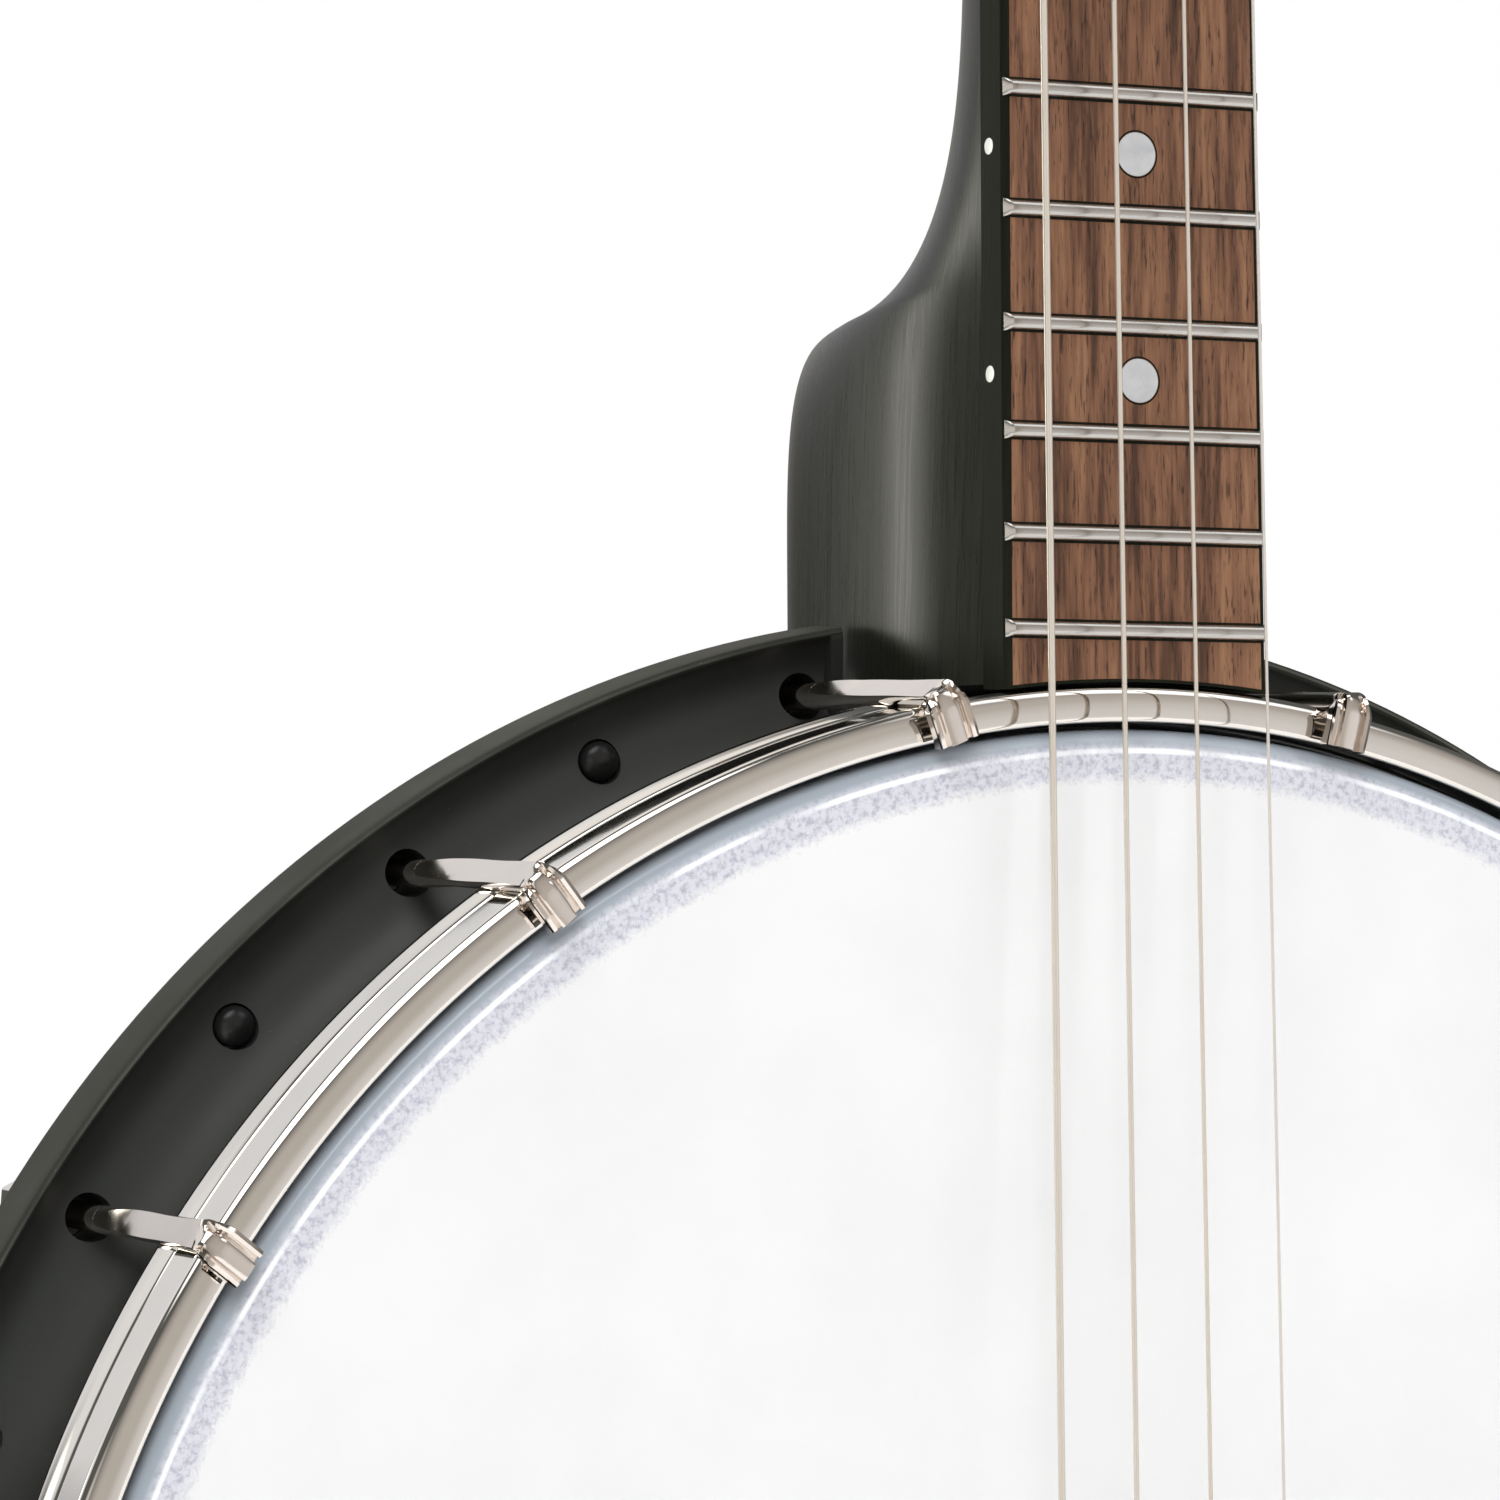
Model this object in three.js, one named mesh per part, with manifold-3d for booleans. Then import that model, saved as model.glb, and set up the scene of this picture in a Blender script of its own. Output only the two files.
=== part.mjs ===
// A four-string open-back tenor banjo, 23-inch scale, 11-inch pot, as separate parts.
//
// Frame, in millimetres: +Z runs up the neck, -Y is the side the player's audience sees (the head),
// +X is the treble side. The origin is the centre of the head's playing surface. The pot's axis is
// the Y axis, so a Lathe profile of (radius, depth) points is the pot's cross-section as it stands.

import * as THREE from 'three';
import { mergeVertices } from 'three/addons/utils/BufferGeometryUtils.js';
import Module from 'manifold-3d';

const wasm = await Module();
wasm.setup();

// ---- Driving dimensions -------------------------------------------------------------------------

const SCALE_LENGTH = 584.2;
const FRET_COUNT = 19;
const STRING_COUNT = 4;
const BRIDGE_Z = -42.2;

const RIM_RADIUS = 139.7;
const RIM_WALL = 9;
const RIM_DEPTH = 70;
const BEARING_RADIUS = 2.2; // of the rounded edge that the head lies on
const COVE_RADIUS = 9.2; // of the flange's concave trough
const COVE_DEPTH = 25.2; // of the trough's centre of curvature
const HEAD_FILM = 0.5;
const HEAD_TURN_RADIUS = 2.5;
const HOOP_INNER_RADIUS = 141.4;
const HOOP_WALL_RADIUS = 145.9;
const HOOP_LEDGE_RADIUS = 146.5;
const HOOP_LEDGE_DEPTH = 7.3;
const HOOP_DEPTH = 11.8;
const LEDGE_STOP_HALF_WIDTH = 31.5; // the ledge stops this far each side of the neck's middle
const FLANGE_RADIUS = 154.6;
const FLANGE_CREST_DEPTH = 32.7;
const FLANGE_BACK_DEPTH = 41.2;
const NECK_SLOT_HALF_WIDTH = 23.5;
const NECK_SLOT_DEPTH = 12;

const HOOK_COUNT = 16;
const HOOK_WIRE_RADIUS = 1.7;
const HOOK_CIRCLE_RADIUS = 146.8;
const HOOK_HOLE_RADIUS = 3;
const HOOK_END_DEPTH = 58;
const HOOK_CLAW_WIDTH = 4.4;
const HOOK_NUT_RADIUS = 4.1;
const HOOK_NUT_LENGTH = 12;
const HOOK_WASHER_RADIUS = 4.8;

const NECK_ANGLE = THREE.MathUtils.degToRad(3);
const NECK_PLANE_DEPTH = -6.75; // where the fretboard's plane crosses the pot's axis
const NUT_WIDTH = 31.75;
const LAST_FRET_WIDTH = 36.7;
const BOARD_THICKNESS = 5.5;
const FRET_HEIGHT = 1;
const FRET_HALF_WIDTH = 1;
const NECK_DEPTH_AT_NUT = 20.6;
const NECK_DEPTH_AT_HEEL = 24.3;
const HEEL_START = 240; // distances up the neck
const HEEL_FACE = 192.3;
const HEEL_FACE_DEPTH = 57;
const HEEL_CORNER = 165.3;
const HEEL_FOOT = 126;
const HEEL_DEPTH = 68.5;
const HEEL_SWELL = 3; // how much wider the heel is than the board above it, each side
const PEGHEAD_ANGLE = THREE.MathUtils.degToRad(12);
const PEGHEAD_LENGTH = 158;
const PEGHEAD_THICKNESS = 15;

const STRING_DIAMETERS = [0.95, 0.7, 0.56, 0.4]; // bass to treble
const STRING_SPREAD_AT_NUT = 26.9;
const STRING_SPREAD_AT_BRIDGE = 31.7;
const STRING_HEIGHT_AT_NUT = 1.6; // string centre above the fretboard
const STRING_DEPTH_AT_BRIDGE = -15.8;

const ROD_DEPTH = 22.5; // the coordinator rod's distance behind the head
const ROD_RADIUS = 4.8;
const STUD_RADIUS = 3.9;
const STUD_TOP = 164;
const STUD_FOOT = 108;

const TAILPIECE_LIP_Z = -98;
const TAILPIECE_DEPTH = -8;
const TAILPIECE_PLATE = 1.6;
const TAILPIECE_HALF_WIDTH = 19;
const TAILPIECE_TAIL_HALF_WIDTH = 10;
const TAILPIECE_STRING_SPREAD = 0.8; // of the strings' spread at the bridge

const PEG_HOLE_RADIUS = 5;
const TUNER_PLACES = [[-21.5, 48], [-20, 98], [20, 98], [21.5, 48]]; // (x, past the nut), bass to treble
const POST_RADIUS = 3.2;
const POST_HOLE_AT = -13; // the string hole, in front of the peghead
const POST_HOLE_RADIUS = 0.8;
const TUNER_CASE_RADIUS = 8.2;
const TUNER_CASE_LENGTH = 17;
const TUNER_COLLAR_RADIUS = 7;
const BUTTON_HALF_WIDTH = 11;
const BUTTON_LENGTH = 15;
const BUTTON_THICKNESS = 8;

const GAP = 0.3; // clearance between neighbouring solids
const POT_SEGMENTS = 64;

// ---- Derived positions --------------------------------------------------------------------------

const BRIDGE_ALONG_NECK = BRIDGE_Z / Math.cos(NECK_ANGLE);
const NUT_ALONG_NECK = BRIDGE_ALONG_NECK + SCALE_LENGTH;
const fretAlongNeck = (n) => BRIDGE_ALONG_NECK + SCALE_LENGTH * 2 ** (-n / 12);
const LAST_FRET = fretAlongNeck(FRET_COUNT);
const RIM_INNER_RADIUS = RIM_RADIUS - RIM_WALL;
const TAILPIECE_OUTSIDE = HOOP_LEDGE_RADIUS + 3; // the inner face of the tailpiece's leg
const TUNER_BACK = PEGHEAD_THICKNESS + GAP;

// ---- Materials ----------------------------------------------------------------------------------

const finish = (color, roughness, metalness) =>
  new THREE.MeshStandardMaterial({ color, roughness, metalness });

const FINISHES = {
  mouldedBlack: () => finish(0x232422, 0.55, 0),
  headWhite: () => finish(0xf0f0f2, 0.5, 0),
  nickel: () => finish(0xd8d2ca, 0.12, 1),
  satinBlack: () => finish(0x2c2e29, 0.4, 0),
  rosewood: () => finish(0x7a4d38, 0.6, 0),
  bone: () => finish(0xece6d6, 0.45, 0),
  maple: () => finish(0xc9995c, 0.5, 0),
  steel: () => finish(0xb9b7b2, 0.25, 1),
  pearl: () => finish(0xe9e6dc, 0.3, 0),
};

// ---- Solids -------------------------------------------------------------------------------------

// Welds a geometry into an indexed, closed surface that faces outwards.
function weld(geometry) {
  const bare = geometry.clone();
  bare.deleteAttribute('normal');
  bare.deleteAttribute('uv');
  const merged = mergeVertices(bare, 1e-4);
  const p = merged.attributes.position;
  const corner = (i) => new THREE.Vector3().fromBufferAttribute(p, i);
  const kept = [];
  let volume = 0;
  for (let i = 0; i < merged.index.count; i += 3) {
    const [a, b, c] = [0, 1, 2].map((k) => merged.index.getX(i + k));
    if (a === b || b === c || c === a) continue;
    kept.push([a, b, c]);
    volume += corner(a).dot(corner(b).cross(corner(c)));
  }
  merged.setIndex((volume < 0 ? kept.map((t) => t.reverse()) : kept).flat());
  return merged;
}

function toManifold(geometry) {
  const closed = weld(geometry);
  return new wasm.Manifold(new wasm.Mesh({
    numProp: 3,
    vertProperties: new Float32Array(closed.attributes.position.array),
    triVerts: new Uint32Array(closed.index.array),
  }));
}

function fromManifold(solid) {
  const mesh = solid.getMesh();
  const geometry = new THREE.BufferGeometry();
  geometry.setAttribute('position', new THREE.BufferAttribute(new Float32Array(mesh.vertProperties), 3));
  geometry.setIndex(new THREE.BufferAttribute(new Uint32Array(mesh.triVerts), 1));
  return geometry;
}

function combine(base, { add = [], subtract = [], intersect = [] }) {
  let solid = toManifold(base);
  for (const g of add) solid = solid.add(toManifold(g));
  for (const g of subtract) solid = solid.subtract(toManifold(g));
  for (const g of intersect) solid = solid.intersect(toManifold(g));
  return fromManifold(solid);
}

function place(name, geometry, material, parent) {
  const shown = weld(geometry);
  shown.computeVertexNormals();
  const mesh = new THREE.Mesh(shown, material);
  mesh.name = name;
  parent.add(mesh);
  return mesh;
}

const vec2 = (pairs) => pairs.map(([x, y]) => new THREE.Vector2(x, y));

// Points along an arc, angles in degrees.
function arc(x, y, radius, from, to, steps) {
  return Array.from({ length: steps + 1 }, (_, i) => {
    const angle = THREE.MathUtils.degToRad(from + ((to - from) * i) / steps);
    return [x + radius * Math.cos(angle), y + radius * Math.sin(angle)];
  });
}

// A closed (radius, depth) profile turned about the pot's axis.
const ring = (profile, segments = POT_SEGMENTS) =>
  new THREE.LatheGeometry(vec2([...profile, profile[0]]), segments);

const turned = (profile, segments) => new THREE.LatheGeometry(vec2(profile), segments);

function extruded(outline, depth, holes = []) {
  const shape = new THREE.Shape(vec2(outline));
  shape.holes = holes.map((h) => new THREE.Path(vec2(h)));
  return new THREE.ExtrudeGeometry(shape, { depth, bevelEnabled: false });
}

// A cylinder along Y between two depths, centred on (x, z).
const rodAlongY = (radius, from, to, x, z, segments = 16) =>
  new THREE.CylinderGeometry(radius, radius, to - from, segments).translate(x, (from + to) / 2, z);

const rodAlongZ = (radius, from, to, y, segments = 16) =>
  new THREE.CylinderGeometry(radius, radius, to - from, segments)
    .rotateX(Math.PI / 2).translate(0, y, (from + to) / 2);

const block = (x0, x1, y0, y1, z0, z1) =>
  new THREE.BoxGeometry(x1 - x0, y1 - y0, z1 - z0)
    .translate((x0 + x1) / 2, (y0 + y1) / 2, (z0 + z1) / 2);

// ---- Pot ----------------------------------------------------------------------------------------

const hookAngle = (i) => ((i + 0.5) * 2 * Math.PI) / HOOK_COUNT;

// The rim and its flange are one moulding: a wall with a rounded bearing edge, and a concave trough
// that ends in a raised lip. The flange is cut away where the heel meets the wall.
function rimWithFlange() {
  const web = 1.8;
  const crestChamfer = 0.4;
  const bearingTop = HEAD_FILM + GAP;
  const profile = [
    [RIM_INNER_RADIUS, 5],
    [RIM_RADIUS - BEARING_RADIUS - 1.2, bearingTop + 0.5],
    ...arc(RIM_RADIUS - BEARING_RADIUS, bearingTop + BEARING_RADIUS, BEARING_RADIUS, -90, 0, 3),
    ...arc(RIM_RADIUS + COVE_RADIUS, COVE_DEPTH, COVE_RADIUS, 180, 60, 5),
    [FLANGE_RADIUS - crestChamfer, FLANGE_CREST_DEPTH],
    [FLANGE_RADIUS, FLANGE_CREST_DEPTH + crestChamfer],
    [FLANGE_RADIUS, FLANGE_BACK_DEPTH],
    [RIM_RADIUS + web, FLANGE_BACK_DEPTH],
    [RIM_RADIUS, FLANGE_BACK_DEPTH + web],
    [RIM_RADIUS, RIM_DEPTH],
    [RIM_INNER_RADIUS, RIM_DEPTH],
  ];
  const neckSlot = combine(
    block(-NECK_SLOT_HALF_WIDTH, NECK_SLOT_HALF_WIDTH, NECK_SLOT_DEPTH, FLANGE_BACK_DEPTH + web + 1,
      RIM_INNER_RADIUS, FLANGE_RADIUS + 5),
    { subtract: [rodAlongY(RIM_RADIUS, 0, RIM_DEPTH, 0, 0, POT_SEGMENTS)] },
  );
  const hookHoles = Array.from({ length: HOOK_COUNT }, (_, i) => rodAlongY(
    HOOK_HOLE_RADIUS, FLANGE_CREST_DEPTH - 8, FLANGE_BACK_DEPTH + web,
    HOOK_CIRCLE_RADIUS * Math.sin(hookAngle(i)), HOOK_CIRCLE_RADIUS * Math.cos(hookAngle(i)), 10,
  ));
  const rodHole = rodAlongZ(STUD_RADIUS + GAP, -FLANGE_RADIUS, FLANGE_RADIUS, ROD_DEPTH);
  return combine(ring(profile), { subtract: [neckSlot, ...hookHoles, rodHole] });
}

// The film: a flat disc that turns over the bearing edge into a short collar.
function headFilm() {
  const turn = HEAD_TURN_RADIUS;
  const collar = RIM_RADIUS + GAP + HEAD_FILM;
  const end = HOOP_DEPTH - 1;
  return turned([
    [0, 0],
    ...arc(collar - turn, turn, turn, -90, 0, 3),
    [collar, end],
    [collar - HEAD_FILM, end],
    ...arc(collar - turn, turn, turn - HEAD_FILM, 0, -90, 3),
    [0, HEAD_FILM],
  ], POT_SEGMENTS);
}

// The metal channel crimped round the film's edge, which the tension hoop presses on.
function fleshHoop() {
  const inner = RIM_RADIUS + HEAD_FILM + 2 * GAP;
  const outer = HOOP_WALL_RADIUS - 1.6;
  return ring([
    [inner, HOOP_LEDGE_DEPTH + GAP],
    [outer, HOOP_LEDGE_DEPTH + GAP],
    [outer, HOOP_DEPTH - 0.2],
    [inner, HOOP_DEPTH - 0.2],
  ]);
}

// The tension hoop: a flat-topped band, notched inside over the flesh hoop, with a ledge outside
// that stops short of the neck.
function tensionHoop() {
  const notch = HOOP_WALL_RADIUS - 1.3;
  const profile = [
    [HOOP_INNER_RADIUS, 0.4],
    [HOOP_INNER_RADIUS + 0.4, 0],
    [HOOP_WALL_RADIUS - 1.4, 0],
    [HOOP_WALL_RADIUS - 0.4, 0.4],
    [HOOP_WALL_RADIUS, 1.4],
    [HOOP_WALL_RADIUS, HOOP_LEDGE_DEPTH],
    [HOOP_LEDGE_RADIUS, HOOP_LEDGE_DEPTH + 0.3],
    [HOOP_LEDGE_RADIUS, HOOP_DEPTH],
    [notch, HOOP_DEPTH],
    [notch, HOOP_LEDGE_DEPTH],
    [HOOP_INNER_RADIUS, HOOP_LEDGE_DEPTH],
  ];
  const neckNotch = combine(
    block(-LEDGE_STOP_HALF_WIDTH, LEDGE_STOP_HALF_WIDTH, HOOP_LEDGE_DEPTH - 0.1, HOOP_DEPTH + 1,
      RIM_INNER_RADIUS, FLANGE_RADIUS),
    { subtract: [rodAlongY(HOOP_WALL_RADIUS, 0, HOOP_DEPTH + 2, 0, 0, POT_SEGMENTS)] },
  );
  return combine(ring(profile), { subtract: [neckNotch] });
}

// A hook, drawn at the top of the pot: a claw over the hoop, a flattened blade and a round shaft.
function hook() {
  const front = -GAP - 4.6;
  const bladeEnd = 16;
  const inner = HOOP_LEDGE_RADIUS + GAP;
  const outer = HOOK_CIRCLE_RADIUS + HOOK_WIRE_RADIUS;
  const claw = extruded([
    [inner, bladeEnd],
    [inner, -GAP],
    [HOOP_INNER_RADIUS - 0.6, -GAP],
    [HOOP_INNER_RADIUS, -GAP - 2],
    [HOOP_WALL_RADIUS - 1.5, front],
    [outer - 2, front],
    [outer, front + 2],
    [outer, bladeEnd],
  ], HOOK_CLAW_WIDTH)
    .translate(0, 0, -HOOK_CLAW_WIDTH / 2)
    .rotateY(-Math.PI / 2);
  return combine(claw, {
    add: [rodAlongY(HOOK_WIRE_RADIUS, HOOP_DEPTH + GAP, HOOK_END_DEPTH, 0, HOOK_CIRCLE_RADIUS, 8)],
  });
}

// A flanged hexagonal nut, bored through for the hook's threaded end.
function hookNut() {
  const washer = 1.4;
  const start = FLANGE_BACK_DEPTH + GAP;
  return combine(rodAlongY(HOOK_NUT_RADIUS, 0, HOOK_NUT_LENGTH, 0, 0, 6), {
    add: [rodAlongY(HOOK_WASHER_RADIUS, 0, washer, 0, 0, 12)],
    subtract: [rodAlongY(HOOK_WIRE_RADIUS + GAP, -1, HOOK_NUT_LENGTH + 1, 0, 0, 8)],
  }).translate(0, start, HOOK_CIRCLE_RADIUS);
}

// ---- Neck, in its own frame: z along the neck, y behind the fretboard's plane -------------------

const boardHalfWidth = (z) => THREE.MathUtils.mapLinear(
  z, NUT_ALONG_NECK, LAST_FRET, NUT_WIDTH / 2, LAST_FRET_WIDTH / 2);

// The line of the neck's back from the nut down to the heel's foot, as (z, depth).
const BACK_LINE = new THREE.CurvePath();
BACK_LINE.add(new THREE.LineCurve(
  ...vec2([[NUT_ALONG_NECK + 3, NECK_DEPTH_AT_NUT], [HEEL_START, NECK_DEPTH_AT_HEEL]])));
BACK_LINE.add(new THREE.CubicBezierCurve(
  ...vec2([[HEEL_START, NECK_DEPTH_AT_HEEL], [217.7, 24.6], [189.8, 26.5], [HEEL_FACE, HEEL_FACE_DEPTH]])));
BACK_LINE.add(new THREE.CubicBezierCurve(
  ...vec2([[HEEL_FACE, HEEL_FACE_DEPTH], [193.2, 68], [180, HEEL_DEPTH], [HEEL_CORNER, HEEL_DEPTH]])));
BACK_LINE.add(new THREE.LineCurve(...vec2([[HEEL_CORNER, HEEL_DEPTH], [HEEL_FOOT, HEEL_DEPTH]])));

const BACK_LINE_STEPS = [2, 9, 6, 1];

// Half the neck's cross-section at z, from the board's edge round to the middle of the back. It is
// nearly an ellipse along the neck, and grows squarer and wider into the heel.
function neckSection(z, depth, steps) {
  const heel = THREE.MathUtils.clamp((depth - 24) / (HEEL_DEPTH - 24), 0, 1);
  const power = 2.2 + 1.3 * heel;
  const swell = HEEL_SWELL * heel;
  const top = BOARD_THICKNESS + GAP;
  const first = Math.asin((top / depth) ** (power / 2));
  return Array.from({ length: steps + 1 }, (_, i) => {
    const angle = first + ((Math.PI / 2 - first) * i) / steps;
    const y = depth * Math.sin(angle) ** (2 / power);
    const settled = Math.min(1, (y - top) / 20);
    const side = boardHalfWidth(z) + swell * settled * (2 - settled);
    return [side * Math.max(0, Math.cos(angle)) ** (2 / power), y];
  });
}

// A closed surface through a list of loops of equal length, capped at both ends.
function loft(loops) {
  const around = loops[0].length;
  const positions = loops.flat(2);
  const index = [];
  for (let ringIndex = 0; ringIndex + 1 < loops.length; ringIndex += 1) {
    for (let i = 0; i < around; i += 1) {
      const a = ringIndex * around + i;
      const b = ringIndex * around + ((i + 1) % around);
      index.push(a, b, b + around, a, b + around, a + around);
    }
  }
  const last = (loops.length - 1) * around;
  for (let i = 1; i + 1 < around; i += 1) {
    index.push(0, i + 1, i, last, last + i, last + i + 1);
  }
  const geometry = new THREE.BufferGeometry();
  geometry.setAttribute('position', new THREE.Float32BufferAttribute(positions, 3));
  geometry.setIndex(index);
  return geometry;
}

function neckShaft() {
  const stretches = BACK_LINE.curves.map((curve, k) => curve.getPoints(BACK_LINE_STEPS[k]));
  const samples = stretches.flatMap((points, k) => (k === 0 ? points : points.slice(1)));
  const loops = samples.map((p) => {
    const half = neckSection(p.x, p.y, 9);
    const mirrored = half.slice(0, -1).reverse().map(([x, y]) => [-x, y]);
    return [...half, ...mirrored].map(([x, y]) => [x, y, p.x]);
  });
  return loft(loops);
}

// The peghead's outline from the nut to its crown, in (x, distance past the nut).
function pegheadOutline() {
  const half = new THREE.Path();
  half.moveTo(boardHalfWidth(NUT_ALONG_NECK), -4);
  half.lineTo(boardHalfWidth(NUT_ALONG_NECK), 6);
  half.bezierCurveTo(18, 22, 33, 24, 34, 42);
  half.bezierCurveTo(34.5, 70, 27, 90, 30, 128);
  half.bezierCurveTo(31, 138, 27, 146, 18, 146);
  half.bezierCurveTo(11, 146, 9, PEGHEAD_LENGTH, 0, PEGHEAD_LENGTH);
  const right = half.getPoints(7).map((p) => [p.x, p.y]);
  const left = right.slice(0, -1).reverse().map(([x, y]) => [-x, y]);
  return [...right, ...left];
}

// Turns a solid drawn with +Y behind the peghead's face and +Z towards its crown into the neck's frame.
function pegheadFrame(object) {
  object.position.set(0, BOARD_THICKNESS + GAP, NUT_ALONG_NECK + 2);
  object.rotation.x = -PEGHEAD_ANGLE;
  object.updateMatrix();
  return object;
}

function neckWithPeghead() {
  const slab = extruded(pegheadOutline(), PEGHEAD_THICKNESS).rotateX(Math.PI / 2)
    .translate(0, PEGHEAD_THICKNESS, 0);
  const pegHoles = TUNER_PLACES.map(([x, z]) =>
    rodAlongY(PEG_HOLE_RADIUS, -2, PEGHEAD_THICKNESS + 2, x, z));
  const peghead = combine(slab, { subtract: pegHoles })
    .applyMatrix4(pegheadFrame(new THREE.Object3D()).matrix);
  const potFrame = neckFrame(new THREE.Object3D()).matrix.clone().invert();
  const potClearance = rodAlongY(RIM_RADIUS + GAP, -40, 120, 0, 0, POT_SEGMENTS).applyMatrix4(potFrame);
  const hoopClearance = rodAlongY(HOOP_LEDGE_RADIUS + GAP, -40, HOOP_DEPTH + GAP, 0, 0, POT_SEGMENTS)
    .applyMatrix4(potFrame);
  const studHole = rodAlongZ(STUD_RADIUS + GAP, STUD_FOOT, STUD_TOP + 4, ROD_DEPTH)
    .applyMatrix4(potFrame);
  const nutSeat = block(-30, 30, -20, BOARD_THICKNESS + GAP, NUT_ALONG_NECK - 20, NUT_ALONG_NECK + 5);
  return combine(neckShaft(), {
    add: [peghead],
    subtract: [potClearance, hoopClearance, studHole, nutSeat],
  });
}

// The fretboard with its frets pressed in. Its lower end follows the hoop.
function fretboardWithFrets() {
  const foot = 120;
  const top = NUT_ALONG_NECK - 0.2;
  const board = extruded([
    [-boardHalfWidth(foot), foot],
    [boardHalfWidth(foot), foot],
    [boardHalfWidth(top), top],
    [-boardHalfWidth(top), top],
  ], BOARD_THICKNESS).rotateX(Math.PI / 2).translate(0, BOARD_THICKNESS, 0);
  const frets = Array.from({ length: FRET_COUNT }, (_, i) => {
    const z = fretAlongNeck(i + 1);
    const half = boardHalfWidth(z);
    const crown = [
      [-FRET_HALF_WIDTH, 0.5],
      [-FRET_HALF_WIDTH, -FRET_HEIGHT / 2],
      [-FRET_HALF_WIDTH / 2, -FRET_HEIGHT],
      [FRET_HALF_WIDTH / 2, -FRET_HEIGHT],
      [FRET_HALF_WIDTH, -FRET_HEIGHT / 2],
      [FRET_HALF_WIDTH, 0.5],
    ];
    return extruded(crown, 2 * half)
      .rotateY(-Math.PI / 2).translate(half, 0, z);
  });
  const potFrame = neckFrame(new THREE.Object3D()).matrix.clone().invert();
  const hoopClearance = rodAlongY(HOOP_LEDGE_RADIUS + GAP, -40, 60, 0, 0, POT_SEGMENTS)
    .applyMatrix4(potFrame);
  return combine(board, { add: frets, subtract: [hoopClearance] });
}

function stringX(i, spread) {
  return spread * (i / (STRING_COUNT - 1) - 0.5);
}

function nut() {
  const top = -STRING_HEIGHT_AT_NUT - 0.7;
  const body = block(-NUT_WIDTH / 2, NUT_WIDTH / 2, top, BOARD_THICKNESS,
    NUT_ALONG_NECK + 0.1, NUT_ALONG_NECK + 4.9);
  const slots = STRING_DIAMETERS.map((d, i) => {
    const x = stringX(i, STRING_SPREAD_AT_NUT);
    const half = d / 2 + GAP;
    return block(x - half, x + half, top - 1, -STRING_HEIGHT_AT_NUT + half,
      NUT_ALONG_NECK - 1, NUT_ALONG_NECK + 6);
  });
  return combine(body, { subtract: slots });
}

// ---- Tuners, each drawn along Y: -Y is the front of the peghead ---------------------------------

// The gear case behind the peghead, its bushing through it and the collar in front.
function tunerHousing() {
  const collarFront = -3.4;
  const chamfer = 1.5;
  const bore = POST_RADIUS + GAP;
  const bushing = PEG_HOLE_RADIUS - GAP;
  const end = TUNER_BACK + TUNER_CASE_LENGTH;
  return ring([
    [bore, collarFront],
    [TUNER_COLLAR_RADIUS - chamfer, collarFront],
    [TUNER_COLLAR_RADIUS, collarFront + chamfer],
    [TUNER_COLLAR_RADIUS, -GAP],
    [bushing, -GAP],
    [bushing, TUNER_BACK],
    [TUNER_CASE_RADIUS, TUNER_BACK],
    [TUNER_CASE_RADIUS, end - 2 * chamfer],
    [TUNER_CASE_RADIUS - chamfer, end],
    [bore, end],
  ], 16);
}

// The post, waisted where the string winds on.
function tunerPost() {
  const front = -19.5;
  const back = PEGHEAD_THICKNESS + 8;
  const waist = 2.5;
  const post = turned([
    [0, front],
    [waist, front],
    [POST_RADIUS, front + 1],
    [POST_RADIUS, POST_HOLE_AT - 3],
    [waist, POST_HOLE_AT - 1],
    [waist, POST_HOLE_AT + 4],
    [POST_RADIUS, POST_HOLE_AT + 7],
    [POST_RADIUS, back],
    [0, back],
  ], 12);
  const stringHole = new THREE.CylinderGeometry(POST_HOLE_RADIUS, POST_HOLE_RADIUS, 4 * POST_RADIUS, 8);
  stringHole.rotateZ(Math.PI / 2).translate(0, POST_HOLE_AT, 0);
  return combine(post, { subtract: [stringHole] });
}

// The button's flat grip, wider than its neck, on a shaft that enters the gear case.
function tunerButton() {
  const start = TUNER_BACK + TUNER_CASE_LENGTH + 1;
  const end = start + BUTTON_LENGTH;
  const wide = BUTTON_HALF_WIDTH;
  const shaftRadius = 2.2;
  const wing = new THREE.Path();
  wing.moveTo(wide / 3, start);
  wing.bezierCurveTo(wide / 2, start + 3, wide, start + 1.5, wide, start + 7);
  wing.bezierCurveTo(wide, end - 2, wide / 2, end, 0, end);
  const right = wing.getPoints(5).map((p) => [p.x, p.y]);
  const left = right.slice(0, -1).reverse().map(([x, y]) => [-x, y]);
  const grip = extruded([...right, ...left], BUTTON_THICKNESS).translate(0, 0, -BUTTON_THICKNESS / 2);
  return combine(grip, {
    add: [rodAlongY(shaftRadius, PEGHEAD_THICKNESS + 9, start + 4, 0, 0, 12)],
  });
}

// ---- Strings, bridge and tailpiece --------------------------------------------------------------

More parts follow.
